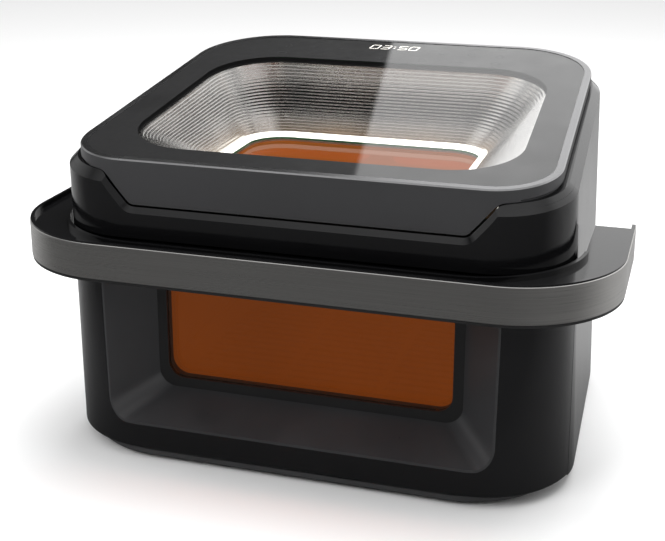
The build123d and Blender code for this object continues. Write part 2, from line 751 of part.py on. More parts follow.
# Top frame with the apron that hangs from its front
with BuildPart() as top_frame:
    add(sloped(frame_outline(), 0, -FRAME_HEIGHT))
    add(sloped(frame_outline(FRAME_FOOT_INSET), -FRAME_HEIGHT, DECK))
    extrude(frame_outline(), amount=TALL)
    split(bisect_by=TOP, keep=Keep.BOTTOM)
    with BuildPart(mode=Mode.PRIVATE) as keep_zone:
        add(sloped(frame_outline(-1), 1, -FRAME_HEIGHT))
        add(sloped(frame_outline(FRAME_FOOT_INSET), -FRAME_HEIGHT + 1, DECK))
        extrude(apron_profile(0, FRAME_FRONT - 1), amount=-FRAME_CORNER_FRONT)
    add(keep_zone.part, mode=Mode.INTERSECT)
    add(sloped(frame_outline(FRAME_WIDTH), 1, -FRAME_HEIGHT - 2), mode=Mode.SUBTRACT)
    with BuildPart(mode=Mode.PRIVATE) as skirt_back:
        extrude(frame_outline(APRON_THICK), amount=TALL)
        split(bisect_by=TOP.offset(DECK), keep=Keep.BOTTOM)
    add(skirt_back.part, mode=Mode.SUBTRACT)
    rim = top_frame.faces().sort_by(Axis.Z)[-1]
    chamfer(rim.outer_wire().edges(), length=FRAME_BEVEL)
save(top_frame, "top_frame")

# Glass top, its carrier with the touch board, and the display
with BuildPart() as top_glass:
    add(sloped(frame_outline(FRAME_WIDTH + SLIP), -GLASS_DROP, GLASS_UNDER))
save(top_glass, "top_glass")

under_top = (FUNNEL_LOW, FUNNEL_LOW + TALL)
board_pocket = ((-TOUCH_HALF, TOUCH_HALF), (TOUCH_FRONT, TOUCH_REAR), under_top)
with BuildPart() as glass_carrier:
    add(sloped(frame_outline(FRAME_WIDTH + SLIP), GLASS_UNDER, DECK))
    add(sloped(view_outline(SLIP), 1, DECK - 1), mode=Mode.SUBTRACT)
    with BuildPart(mode=Mode.PRIVATE) as pocket:
        add(block(*board_pocket))
        split(bisect_by=TOP.offset(GLASS_UNDER - TOUCH_THICK - CARRIER_DEPTH), keep=Keep.TOP)
    add(pocket.part, mode=Mode.SUBTRACT)
save(glass_carrier, "glass_carrier")

with BuildPart() as touch_board:
    add(
        block(
            (-TOUCH_HALF + TOUCH_MARGIN, TOUCH_HALF - TOUCH_MARGIN),
            (TOUCH_FRONT + TOUCH_MARGIN, TOUCH_REAR - TOUCH_MARGIN), under_top,
        )
    )
    split(bisect_by=TOP.offset(GLASS_UNDER), keep=Keep.BOTTOM)
    split(bisect_by=TOP.offset(GLASS_UNDER - TOUCH_THICK), keep=Keep.TOP)
save(touch_board, "touch_board")

with BuildPart() as display_module:
    add(
        block(
            (DISPLAY_X - DISPLAY_HALF, DISPLAY_X + DISPLAY_HALF),
            (DISPLAY_Y - DISPLAY_DEPTH / 2, DISPLAY_Y + DISPLAY_DEPTH / 2),
            under_top,
        )
    )
    split(bisect_by=TOP.offset(GLASS_UNDER - TOUCH_THICK), keep=Keep.BOTTOM)
    split(bisect_by=TOP.offset(GLASS_UNDER - TOUCH_THICK - CARRIER_DEPTH), keep=Keep.TOP)
save(display_module, "display_module")


# Reflector: a stair of ribs from the level lamp ring up to the sloping window, plain outside
def blend(low, high, share):
    """Value between two values."""
    return low + (high - low) * share


def funnel_outline(rise, width, inset=0.0):
    """Plan of the reflector: rise is its share of the height, width its share of the opening."""
    run = 1 / cos(radians(TOP_SLOPE))
    upper = TOP.offset(GLASS_UNDER).origin
    lean = radians(TOP_SLOPE) * rise
    level = Plane(
        origin=(0, blend(FRAME_FRONT, upper.Y, rise), blend(FUNNEL_LOW, upper.Z, rise)),
        x_dir=(1, 0, 0), z_dir=(0, -sin(lean), cos(lean)),
    )
    slip = FUNNEL_SLIP * width + inset
    return plan(
        blend(FUNNEL_HALF, VIEW_HALF_FRONT, width) - slip,
        blend(FUNNEL_HALF, VIEW_HALF_REAR, width) - slip,
        blend(FUNNEL_FRONT - FRAME_FRONT, (VIEW_FRONT - FRAME_FRONT) * run, width) + slip,
        blend(FUNNEL_REAR - FRAME_FRONT, (VIEW_REAR - FRAME_FRONT) * run, width) - slip,
        blend(FUNNEL_CORNER, VIEW_CORNER_FRONT, width) - slip,
        blend(FUNNEL_CORNER, VIEW_CORNER_REAR, width) - slip,
        level,
    )


with BuildPart() as reflector_funnel:
    loft([funnel_outline(0, 0), funnel_outline(1, 1)], ruled=True)
    stair = []
    for rib in range(RIB_COUNT):
        stair.append(funnel_outline(rib / RIB_COUNT, rib / RIB_COUNT, FUNNEL_SHEET))
        stair.append(
            funnel_outline((rib + RIB_RISE) / RIB_COUNT, (rib + RIB_LEAN) / RIB_COUNT, FUNNEL_SHEET)
        )
    stair.append(funnel_outline(1, 1, FUNNEL_SHEET))
    loft(stair, ruled=True, mode=Mode.SUBTRACT)
save(reflector_funnel, "reflector_funnel")

with BuildPart() as light_ring:
    extrude(ring_outline(RING_LIP, BOARD_TOP), amount=RING_THICK)
    extrude(ring_outline(RING_LIP - RING_WIDTH, BOARD_TOP), amount=RING_THICK, mode=Mode.SUBTRACT)
save(light_ring, "light_ring")

with BuildPart() as led_board:
    extrude(ring_outline(RING_LIP + BOARD_MARGIN, RETAINER_TOP), amount=BOARD_THICK)
    extrude(ring_outline(RING_LIP - RING_WIDTH, RETAINER_TOP), amount=BOARD_THICK, mode=Mode.SUBTRACT)
save(led_board, "led_board")

retainer_seats = [
    (x, y, RETAINER_TOP)
    for x in (-RETAINER_SCREW_X, RETAINER_SCREW_X)
    for y in (FUNNEL_FRONT + RETAINER_SCREW_INSET, FUNNEL_REAR - RETAINER_SCREW_INSET)
]
with BuildPart() as glass_retainer:
    extrude(ring_outline(INNER_GLASS_MARGIN + SEAL_WIDTH, INNER_GLASS_TOP), amount=RETAINER_THICK)
    extrude(ring_outline(-RING_WIDTH, INNER_GLASS_TOP), amount=RETAINER_THICK, mode=Mode.SUBTRACT)
    add(screw_holes(retainer_seats, (0, 0, -1)), mode=Mode.SUBTRACT)
save(glass_retainer, "glass_retainer")

with BuildPart() as inner_glass:
    extrude(ring_outline(INNER_GLASS_MARGIN, INNER_GLASS_TOP), amount=-INNER_GLASS_THICK)
save(inner_glass, "inner_glass")

with BuildPart() as inner_glass_seal:
    extrude(ring_outline(INNER_GLASS_MARGIN, LINER_HIGH), amount=RETAINER_THICK)
    extrude(ring_outline(INNER_GLASS_MARGIN - SEAL_WIDTH, LINER_HIGH), amount=RETAINER_THICK,
            mode=Mode.SUBTRACT)
save(inner_glass_seal, "inner_glass_seal")

with BuildPart() as retainer_spacers:
    for x, y, z in retainer_seats:
        add(rod(SCREW_HEAD_RADIUS, (x, y, LINER_HIGH), (x, y, INNER_GLASS_TOP)))
    add(screw_holes(retainer_seats, (0, 0, -1)), mode=Mode.SUBTRACT)
save(retainer_spacers, "retainer_spacers")

with BuildPart() as retainer_screws:
    add(screws(retainer_seats, (0, 0, -1)))
save(retainer_screws, "retainer_screws")

# Cooking chamber liner, with the inlet of the fan at its rear and the glass in its ceiling
with BuildPart() as chamber_liner:
    with BuildSketch(front_plane(LINER_FRONT)):
        with Locations((0, (LINER_LOW + LINER_HIGH) / 2)):
            RectangleRounded(2 * LINER_HALF, LINER_HIGH - LINER_LOW, LINER_CORNER)
    extrude(amount=-(LINER_REAR - LINER_FRONT))
    with BuildSketch(front_plane(LINER_FRONT + LINER_SHEET)):
        with Locations((0, (LINER_LOW + LINER_HIGH) / 2)):
            RectangleRounded(
                2 * (LINER_HALF - LINER_SHEET), LINER_HIGH - LINER_LOW - 2 * LINER_SHEET,
                LINER_CORNER - LINER_SHEET,
            )
    extrude(amount=-(LINER_REAR - LINER_FRONT - 2 * LINER_SHEET), mode=Mode.SUBTRACT)
    extrude(upright(MOUTH_HALF, MOUTH_LOW, MOUTH_HIGH, MOUTH_CORNER, LINER_FRONT),
            amount=-LINER_SHEET, mode=Mode.SUBTRACT)
    extrude(ring_outline(-CEILING_MARGIN, LINER_HIGH), amount=-LINER_SHEET, mode=Mode.SUBTRACT)
    add(rod(INLET_RADIUS, (0, LINER_REAR - LINER_SHEET, FAN_Z), (0, LINER_REAR, FAN_Z)),
        mode=Mode.SUBTRACT)
    hole_front = LINER_REAR - TAIL_HOLE_DEPTH
    for x in (-HEATER_TAIL_X, HEATER_TAIL_X):
        add(rod(HEATER_RADIUS + SLIP, (x, hole_front, HEATER_Z), (x, LINER_REAR, HEATER_Z)),
            mode=Mode.SUBTRACT)
    add(rod(PROBE_RADIUS + SLIP, (PROBE_X, hole_front, PROBE_Z), (PROBE_X, LINER_REAR, PROBE_Z)),
        mode=Mode.SUBTRACT)
    add(screw_holes(retainer_seats, (0, 0, -1)), mode=Mode.SUBTRACT)
save(chamber_liner, "chamber_liner")

# Heating element under the ceiling
with BuildPart() as heating_element:
    with BuildLine() as heater_path:
        tail_end = LINER_REAR + HEATER_TAIL
        FilletPolyline(
            (-HEATER_TAIL_X, tail_end, HEATER_Z), (-HEATER_TAIL_X, HEATER_BACK, HEATER_Z),
            (-HEATER_HALF, HEATER_BACK, HEATER_Z), (-HEATER_HALF, HEATER_FRONT, HEATER_Z),
            (HEATER_HALF, HEATER_FRONT, HEATER_Z), (HEATER_HALF, HEATER_BACK, HEATER_Z),
            (HEATER_TAIL_X, HEATER_BACK, HEATER_Z), (HEATER_TAIL_X, tail_end, HEATER_Z),
            radius=[HEATER_TAIL_BEND, *[HEATER_BEND] * 4, HEATER_TAIL_BEND],
        )
    with BuildSketch(Plane(origin=(-HEATER_TAIL_X, tail_end, HEATER_Z), z_dir=(0, -1, 0))):
        Circle(HEATER_RADIUS)
    sweep()
save(heating_element, "heating_element")

with BuildPart() as heater_terminals:
    for x in (-HEATER_TAIL_X, HEATER_TAIL_X):
        add(rod(TERMINAL_RADIUS, (x, tail_end, HEATER_Z), (x, tail_end + TERMINAL_LENGTH, HEATER_Z)))
save(heater_terminals, "heater_terminals")

with BuildPart() as heater_clips:
    for x in (-HEATER_HALF, HEATER_HALF):
        for y in (-CLIP_Y, CLIP_Y):
            add(
                block(
                    (x - CLIP_WIDTH / 2, x + CLIP_WIDTH / 2), (y - CLIP_SHEET, y + CLIP_SHEET),
                    (HEATER_Z - CLIP_DROP, LINER_HIGH - LINER_SHEET),
                )
            )
            add(
                rod(HEATER_RADIUS + SLIP, (x, y - WALL, HEATER_Z), (x, y + WALL, HEATER_Z)),
                mode=Mode.SUBTRACT,
            )
save(heater_clips, "heater_clips")

with BuildPart() as temperature_probe:
    add(rod(PROBE_RADIUS, (PROBE_X, LINER_REAR - PROBE_LENGTH, PROBE_Z),
            (PROBE_X, LINER_REAR, PROBE_Z)))
    add(rod(PROBE_RADIUS * 2, (PROBE_X, LINER_REAR, PROBE_Z),
            (PROBE_X, LINER_REAR + PROBE_HEAD, PROBE_Z)))
save(temperature_probe, "temperature_probe")

with BuildPart() as thermal_fuse:
    fuse_top = LINER_HIGH + FUSE_BASE
    add(
        block(
            (FUSE_X - FUSE_HALF, FUSE_X + FUSE_HALF),
            (FUSE_Y - FUSE_HALF_DEPTH, FUSE_Y + FUSE_HALF_DEPTH), (LINER_HIGH, fuse_top),
        )
    )
    add(rod(FUSE_CAP_RADIUS, (FUSE_X, FUSE_Y, fuse_top), (FUSE_X, FUSE_Y, fuse_top + FUSE_CAP)))
save(thermal_fuse, "thermal_fuse")

# Fan behind the chamber: guard, shroud, impeller, shaft, cooling fan, bracket and motor
with BuildPart() as fan_guard:
    with BuildSketch(front_plane(LINER_REAR - LINER_SHEET)):
        with Locations((0, FAN_Z)):
            Circle(GUARD_RADIUS)
            with PolarLocations((GUARD_HUB + INLET_RADIUS) / 2, GUARD_SLOTS):
                SlotOverall(INLET_RADIUS - GUARD_HUB, GUARD_SLOT_WIDTH, mode=Mode.SUBTRACT)
    extrude(amount=GUARD_SHEET)
    fillet(fan_guard.faces().sort_by(Axis.Y)[0].outer_wire().edges(), GUARD_SHEET / 2)
save(fan_guard, "fan_guard")

bracket_posts = [
    (x, FAN_Z + z)
    for x in (-BRACKET_POST_X, BRACKET_POST_X) for z in (-BRACKET_POST_Z, BRACKET_POST_Z)
]
with BuildPart() as fan_shroud:
    add(rod(SHROUD_RADIUS, (0, LINER_REAR, FAN_Z), (0, SHROUD_REAR, FAN_Z)))
    fillet(fan_shroud.faces().sort_by(Axis.Y)[-1].edges(), SHROUD_BEND)
    with BuildPart(mode=Mode.PRIVATE) as shroud_space:
        add(rod(SHROUD_RADIUS - SHROUD_SHEET, (0, LINER_REAR, FAN_Z),
                (0, SHROUD_REAR - SHROUD_SHEET, FAN_Z)))
        fillet(shroud_space.faces().sort_by(Axis.Y)[-1].edges(), SHROUD_BEND - SHROUD_SHEET)
    add(shroud_space.part, mode=Mode.SUBTRACT)
    add(rod(SHAFT_RADIUS + SHROUD_HOLE, (0, LINER_REAR, FAN_Z), (0, SHROUD_REAR, FAN_Z)),
        mode=Mode.SUBTRACT)
save(fan_shroud, "fan_shroud")

with BuildPart() as fan_impeller:
    add(rod(FAN_RADIUS, (0, FAN_FRONT + FAN_DEPTH - FAN_DISC, FAN_Z),
            (0, FAN_FRONT + FAN_DEPTH, FAN_Z)))
    add(rod(FAN_HUB_RADIUS, (0, FAN_FRONT, FAN_Z), (0, FAN_FRONT + FAN_DEPTH, FAN_Z)))
    with BuildSketch(front_plane(FAN_FRONT + FAN_DEPTH - FAN_DISC)):
        with Locations((0, FAN_Z)):
            with PolarLocations((FAN_HUB_RADIUS + FAN_RADIUS) / 2, FAN_BLADES):
                Rectangle(FAN_RADIUS - FAN_HUB_RADIUS - 2 * FAN_BLADE_INSET, FAN_DISC,
                          rotation=FAN_BLADE_ANGLE)
    extrude(amount=FAN_DEPTH - FAN_DISC)
    add(rod(SHAFT_RADIUS, (0, FAN_FRONT, FAN_Z), (0, FAN_FRONT + FAN_DEPTH, FAN_Z)),
        mode=Mode.SUBTRACT)
save(fan_impeller, "fan_impeller")

cooler_front = SHROUD_REAR + COOLER_GAP
shaft_end = MOTOR_FRONT + MOTOR_LENGTH / 2
with BuildPart() as motor_shaft:
    add(rod(SHAFT_RADIUS, (0, FAN_FRONT, FAN_Z), (0, shaft_end, FAN_Z)))
save(motor_shaft, "motor_shaft")

with BuildPart() as cooling_fan:
    add(rod(FAN_HUB_RADIUS, (0, cooler_front, FAN_Z), (0, cooler_front + COOLER_DEPTH, FAN_Z)))
    with BuildSketch(front_plane(cooler_front + COOLER_DEPTH)):
        with Locations((0, FAN_Z)):
            with PolarLocations((FAN_HUB_RADIUS + COOLER_RADIUS) / 2 - FAN_BLADE_INSET, COOLER_BLADES):
                Rectangle(COOLER_RADIUS - FAN_HUB_RADIUS, FAN_DISC, rotation=FAN_BLADE_ANGLE)
            Circle(COOLER_RADIUS)
            Circle(COOLER_RADIUS - FAN_DISC, mode=Mode.SUBTRACT)
            with PolarLocations((FAN_HUB_RADIUS + COOLER_RADIUS) / 2 - FAN_BLADE_INSET, COOLER_BLADES):
                Rectangle(COOLER_RADIUS - FAN_HUB_RADIUS, FAN_DISC)
    extrude(amount=COOLER_DEPTH)
    add(rod(SHAFT_RADIUS, (0, cooler_front, FAN_Z), (0, cooler_front + COOLER_DEPTH, FAN_Z)),
        mode=Mode.SUBTRACT)
save(cooling_fan, "cooling_fan")

with BuildPart() as motor_bracket:
    extrude(
        upright(
            BRACKET_POST_X + BRACKET_MARGIN, FAN_Z - BRACKET_POST_Z - BRACKET_MARGIN,
            FAN_Z + BRACKET_POST_Z + BRACKET_MARGIN, BRACKET_MARGIN, MOTOR_FRONT,
        ),
        amount=BRACKET_SHEET,
    )
    for x, z in bracket_posts:
        add(rod(BRACKET_POST_RADIUS, (x, SHROUD_REAR, z), (x, BRACKET_FRONT, z)))
    add(rod(SHAFT_RADIUS + SHROUD_HOLE, (0, BRACKET_FRONT, FAN_Z), (0, MOTOR_FRONT, FAN_Z)),
        mode=Mode.SUBTRACT)
    bracket_seats = [(x, MOTOR_FRONT, z) for x, z in bracket_posts]
    add(screw_holes(bracket_seats, (0, -1, 0)), mode=Mode.SUBTRACT)
save(motor_bracket, "motor_bracket")

with BuildPart() as motor_screws:
    add(screws(bracket_seats, (0, -1, 0)))
save(motor_screws, "motor_screws")

with BuildPart() as fan_motor:
    add(rod(MOTOR_RADIUS, (0, MOTOR_FRONT, FAN_Z), (0, MOTOR_FRONT + MOTOR_LENGTH, FAN_Z)))
    chamfer(fan_motor.faces().sort_by(Axis.Y)[-1].edges(), MOTOR_EASE)
    add(rod(SHAFT_RADIUS + SHAFT_SLIP, (0, MOTOR_FRONT, FAN_Z), (0, shaft_end + 1, FAN_Z)),
        mode=Mode.SUBTRACT)
save(fan_motor, "fan_motor")

# Power board on its bracket in the left side space
with BuildPart() as board_bracket:
    plate_x = (BRACKET_X - BRACKET_PLATE, BRACKET_X)
    bracket_low = BASE_LOW + BASE_FLOOR
    add(block(plate_x, (BOARD_FRONT, BOARD_REAR), (bracket_low, BOARD_HIGH)))
    add(block(
        (BRACKET_X, BRACKET_X + BRACKET_FOOT), (BOARD_FRONT, BOARD_REAR),
        (bracket_low, bracket_low + BRACKET_PLATE),
    ))
    for y in (BOARD_FRONT + BOARD_POST_INSET, BOARD_REAR - BOARD_POST_INSET):
        for z in (BOARD_LOW + BOARD_POST_INSET, BOARD_HIGH - BOARD_POST_INSET):
            add(rod(BOARD_POST_RADIUS, (BRACKET_X, y, z), (BRACKET_X + BOARD_POST, y, z)))
save(board_bracket, "board_bracket")

with BuildPart() as power_board:
    board_x = BRACKET_X + BOARD_POST
    board_face = board_x + BOARD_THICK
    add(block((board_x, board_face), (BOARD_FRONT, BOARD_REAR), (BOARD_LOW, BOARD_HIGH)))
    for y, z, half_y, half_z, deep in BOARD_PARTS:
        add(block((board_face, board_face + deep), (y - half_y, y + half_y), (z - half_z, z + half_z)))
save(power_board, "power_board")


def recess_cone(grow):
    """Sloping space of the recess in the drawer front, moved outwards."""
    with BuildPart(mode=Mode.PRIVATE) as cone:
        loft(
            [
                upright(RECESS_HALF + grow, RECESS_LOW - grow, RECESS_HIGH + grow,
                        RECESS_CORNER + grow, HOUSING_FRONT),
                upright(RECESS_FLOOR_HALF + grow, RECESS_FLOOR_LOW - grow, RECESS_FLOOR_HIGH + grow,
                        RECESS_FLOOR_CORNER + grow, RECESS_FLOOR),
            ],
            ruled=True,
        )
    return cone.part


# Drawer front: a shell that wraps both front corners, with a sloping recess round the window
panel_bosses = [
    (x, z) for x in (-PANEL_BOSS_X, PANEL_BOSS_X) for z in (PANEL_BOSS_LOW, PANEL_BOSS_HIGH)
]
with BuildPart() as drawer_front:
    add(housing(DRAWER_LOW, DRAWER_HIGH))
    add(housing(DRAWER_LOW + WALL, DRAWER_HIGH - WALL, WALL), mode=Mode.SUBTRACT)
    add(block((-FAR, FAR), (DRAWER_REAR, FAR), (0, FAR)), mode=Mode.SUBTRACT)
    chamfer(drawer_front.faces().sort_by(Axis.Z)[0].outer_wire().edges().filter_by(
        lambda edge: edge.center().Y < DRAWER_REAR - 1), length=EDGE_EASE)
    add(recess_cone(RECESS_WALL + SLIP), mode=Mode.SUBTRACT)
    for x, z in panel_bosses:
        add(
            rod(PANEL_BOSS_RADIUS, (x, HOUSING_FRONT, z), (x, PANEL_FRONT, z))
            & housing(DRAWER_LOW, DRAWER_HIGH, WALL / 2)
        )
    panel_seats = [(x, PANEL_REAR, z) for x, z in panel_bosses]
    add(screw_holes(panel_seats, (0, -1, 0)), mode=Mode.SUBTRACT)
save(drawer_front, "drawer_front")

with BuildPart() as recess_bezel:
    add(recess_cone(RECESS_WALL))
    add(recess_cone(0), mode=Mode.SUBTRACT)
    add(housing(DRAWER_LOW, DRAWER_HIGH), mode=Mode.INTERSECT)
save(recess_bezel, "recess_bezel")


def pane(grow, y, thickness, hole=None):
    """Plate on an upright plane: the window outline moved outwards, with an optional hole."""
    with BuildPart(mode=Mode.PRIVATE) as plate:
        extrude(upright(WINDOW_HALF + grow, WINDOW_LOW - grow, WINDOW_HIGH + grow,
                        WINDOW_CORNER + grow, y), amount=-thickness)
        if hole is not None:
            extrude(upright(WINDOW_HALF + hole, WINDOW_LOW - hole, WINDOW_HIGH + hole,
                            WINDOW_CORNER + hole, y), amount=-thickness, mode=Mode.SUBTRACT)
    return plate.part


with BuildPart() as window_ring:
    extrude(
        upright(RECESS_FLOOR_HALF + RECESS_WALL, RECESS_FLOOR_LOW - RECESS_WALL,
                RECESS_FLOOR_HIGH + RECESS_WALL, RECESS_FLOOR_CORNER + RECESS_WALL, RECESS_FLOOR),
        amount=-WINDOW_RING_THICK,
    )
    extrude(upright(WINDOW_HALF, WINDOW_LOW, WINDOW_HIGH, WINDOW_CORNER, RECESS_FLOOR),
            amount=-WINDOW_RING_THICK, mode=Mode.SUBTRACT)
save(window_ring, "window_ring")

with BuildPart() as outer_pane:
    add(pane(PANE_MARGIN, OUTER_PANE_FRONT, OUTER_PANE))
save(outer_pane, "outer_pane")

with BuildPart() as pane_spacer:
    add(pane(PANE_MARGIN, SPACER_FRONT, PANE_SPACER, hole=SPACER_MARGIN))
save(pane_spacer, "pane_spacer")

with BuildPart() as inner_pane:
    add(pane(PANE_MARGIN, INNER_PANE_FRONT, INNER_PANE))
save(inner_pane, "inner_pane")

with BuildPart() as drawer_panel:
    extrude(upright(PANEL_HALF, PANEL_LOW, PANEL_HIGH, PANEL_CORNER, PANEL_FRONT),
            amount=-PANEL_SHEET)
    add(pane(-SPACER_MARGIN, PANEL_FRONT, PANEL_SHEET), mode=Mode.SUBTRACT)
    add(screw_holes(panel_seats, (0, -1, 0)), mode=Mode.SUBTRACT)
save(drawer_panel, "drawer_panel")

with BuildPart() as panel_screws:
    add(screws(panel_seats, (0, -1, 0)))
save(panel_screws, "panel_screws")

with BuildPart() as drawer_gasket:
    gasket_depth = LINER_FRONT - GASKET_GAP - PANEL_REAR
    extrude(upright(MOUTH_HALF + GASKET_WIDTH, MOUTH_LOW - GASKET_WIDTH, MOUTH_HIGH + GASKET_WIDTH,
                    MOUTH_CORNER + GASKET_WIDTH, PANEL_REAR), amount=-gasket_depth)
    extrude(upright(MOUTH_HALF, MOUTH_LOW, MOUTH_HIGH, MOUTH_CORNER, PANEL_REAR),
            amount=-gasket_depth, mode=Mode.SUBTRACT)
save(drawer_gasket, "drawer_gasket")

# Pan with its window, rim, runners and the rails that carry it
with BuildPart() as drawer_pan:
    with BuildSketch(Plane.XY.offset(PAN_LOW)):
        with Locations((0, (PANEL_REAR + PAN_REAR) / 2)):
            RectangleRounded(2 * PAN_HALF, PAN_REAR - PANEL_REAR, PAN_CORNER)
    extrude(amount=PAN_HIGH - PAN_LOW)
    fillet(drawer_pan.faces().sort_by(Axis.Z)[0].edges(), PAN_CORNER / 4)
    with BuildSketch(Plane.XY.offset(PAN_HIGH - PAN_SHEET)):
        with Locations((0, (PANEL_REAR + PAN_REAR) / 2)):
            RectangleRounded(2 * (PAN_HALF + PAN_RIM), PAN_REAR - PANEL_REAR, PAN_CORNER)
    extrude(amount=PAN_SHEET)
    with BuildSketch(Plane.XY.offset(PAN_LOW + PAN_SHEET)):
        with Locations((0, (PANEL_REAR + PAN_REAR) / 2)):
            RectangleRounded(2 * (PAN_HALF - PAN_SHEET), PAN_REAR - PANEL_REAR - 2 * PAN_SHEET,
                             PAN_CORNER - PAN_SHEET)
    extrude(amount=PAN_HIGH, mode=Mode.SUBTRACT)
    extrude(
        upright(WINDOW_HALF - PAN_WINDOW_INSET, WINDOW_LOW, PAN_HIGH - PAN_WINDOW_DROP, WINDOW_CORNER,
                PANEL_REAR),
        amount=-PAN_SHEET, mode=Mode.SUBTRACT,
    )
save(drawer_pan, "drawer_pan")

runner_high = RUNNER_MIDDLE + RUNNER_HEIGHT / 2
runner_low = RUNNER_MIDDLE - RUNNER_HEIGHT / 2
for side, word in ((-1, "left"), (1, "right")):
    with BuildPart() as runner:
        edges = sorted((side * PAN_HALF, side * (PAN_HALF + RUNNER_DEPTH)))
        add(block(edges, (PANEL_REAR + PAN_CORNER, PAN_REAR - PAN_CORNER), (runner_low, runner_high)))
    save(runner, f"{word}_runner")

    with BuildPart() as rail:
        rail_in = PAN_HALF + PAN_RIM + RAIL_GAP
        edges = sorted((side * rail_in, side * (LINER_HALF - LINER_SHEET)))
        add(block(edges, (RAIL_FRONT, RAIL_REAR),
                  (RUNNER_MIDDLE - RAIL_HEIGHT / 2, RUNNER_MIDDLE + RAIL_HEIGHT / 2)))
        edges = sorted((side * (rail_in - 1), side * (PAN_HALF + RUNNER_DEPTH + SLIDE_GAP)))
        add(block(edges, (RAIL_FRONT - 1, RAIL_REAR + 1),
                  (runner_low - SLIDE_GAP, runner_high + SLIDE_GAP)), mode=Mode.SUBTRACT)
    save(rail, f"{word}_rail")

# Perforated plate that lifts out of the pan, on four pads
plate_half = PAN_HALF - PAN_SHEET - PLATE_MARGIN
plate_front = PANEL_REAR + PAN_SHEET + PLATE_MARGIN
plate_rear = PAN_REAR - PAN_SHEET - PLATE_MARGIN
plate_middle = (plate_front + plate_rear) / 2
pad_places = [
    (x, y) for x in (-plate_half + PAD_INSET, plate_half - PAD_INSET)
    for y in (plate_front + PAD_INSET, plate_rear - PAD_INSET)
]
with BuildPart() as crisper_plate:
    with BuildSketch(Plane.XY.offset(PLATE_Z)):
        with Locations((0, plate_middle)):
            RectangleRounded(2 * plate_half, plate_rear - plate_front, PAN_CORNER - PLATE_MARGIN)
    extrude(amount=PLATE_RIM)
    with BuildSketch(Plane.XY.offset(PLATE_Z + PLATE_SHEET)):
        with Locations((0, plate_middle)):
            RectangleRounded(2 * (plate_half - PLATE_SHEET), plate_rear - plate_front - 2 * PLATE_SHEET,
                             PAN_CORNER - PLATE_MARGIN - PLATE_SHEET)
    extrude(amount=PLATE_RIM, mode=Mode.SUBTRACT)
    with BuildSketch(Plane.XY.offset(PLATE_Z)):
        with Locations((0, plate_middle)):
            with GridLocations(PLATE_SLOT + PLATE_PITCH / 2, PLATE_PITCH, PLATE_COLUMNS, PLATE_ROWS):
                SlotOverall(PLATE_SLOT, PLATE_SLOT_WIDTH)
    extrude(amount=PLATE_SHEET, mode=Mode.SUBTRACT)
    with BuildSketch(Plane.XY.offset(PLATE_Z)):
        with Locations(*pad_places):
            Circle(PAD_RADIUS + PAD_SEAT)
    extrude(amount=PLATE_SHEET)
save(crisper_plate, "crisper_plate")

with BuildPart() as plate_pads:
    for x, y in pad_places:
        add(rod(PAD_RADIUS, (x, y, PAN_LOW + PAN_SHEET + SLIDE_GAP), (x, y, PLATE_Z)))
    chamfer(plate_pads.faces().filter_by(Plane.XY).group_by(Axis.Z)[0].edges(), length=PAD_SEAT)
save(plate_pads, "plate_pads")

# Drawer sensing: a magnet on the panel and a switch behind the closing frame
with BuildPart() as sensor_magnet:
    add(block(
        (SENSOR_X - MAGNET_HALF, SENSOR_X + MAGNET_HALF), (PANEL_REAR, PANEL_REAR + MAGNET_DEPTH),
        (SENSOR_Z - MAGNET_HALF_HEIGHT, SENSOR_Z + MAGNET_HALF_HEIGHT),
    ))
save(sensor_magnet, "sensor_magnet")

with BuildPart() as drawer_switch:
    switch_front = LINER_FRONT + CLOSING_FRAME
    add(block(
        (SENSOR_X - SWITCH_HALF, SENSOR_X + SWITCH_HALF), (switch_front, switch_front + SWITCH_DEPTH),
        (SENSOR_Z - SWITCH_HALF_HEIGHT, SENSOR_Z + SWITCH_HALF_HEIGHT),
    ))
save(drawer_switch, "drawer_switch")

# Handle: tray with a lip, brushed band, cover underneath, bridge to the drawer and its screws
with BuildPart() as handle_tray:
    tray_low = BAND_LOW + COVER_SHEET
    trim_top = BAND_HIGH + TRIM_HIGH
    add(slab(handle_plan(BAND_SHEET, tray_low), trim_top - tray_low))
    add(slab(handle_plan(TRIM_WIDTH, TRAY_TOP), FAR), mode=Mode.SUBTRACT)
    add(slab(handle_plan(TRIM_SETBACK, BAND_HIGH), TRIM_HIGH) - slab(handle_plan(TRIM_WIDTH, BAND_HIGH), FAR))
    add(
        handle_hole(LIP_WIDTH, TRAY_TOP - 1, LIP_TOP) & block((-FAR, FAR), (-FAR, LIP_END), (0, FAR))
    )
    add(handle_hole(0, 0, FAR), mode=Mode.SUBTRACT)
    with BuildPart(mode=Mode.PRIVATE) as tray_hollow:
        add(slab(handle_plan(BAND_SHEET + TRAY_SKIN, BAND_LOW), TRAY_TOP - TRAY_SKIN - BAND_LOW))
        add(handle_hole(TRAY_SKIN, 0, FAR), mode=Mode.SUBTRACT)
        add(block((-FAR, FAR), (HANDLE_END - TRAY_SKIN, FAR), (0, FAR)), mode=Mode.SUBTRACT)
    add(tray_hollow.part, mode=Mode.SUBTRACT)
save(handle_tray, "handle_tray")

with BuildPart() as handle_band:
    add(slab(handle_plan(0, BAND_LOW), BAND_HIGH - BAND_LOW))
    chamfer(handle_band.faces().filter_by(Plane.XY).edges().filter_by(
        lambda edge: edge.center().Y < HANDLE_END - 1), length=BAND_EASE)
    add(slab(handle_plan(BAND_SHEET, BAND_LOW), BAND_HIGH - BAND_LOW), mode=Mode.SUBTRACT)
save(handle_band, "handle_band")

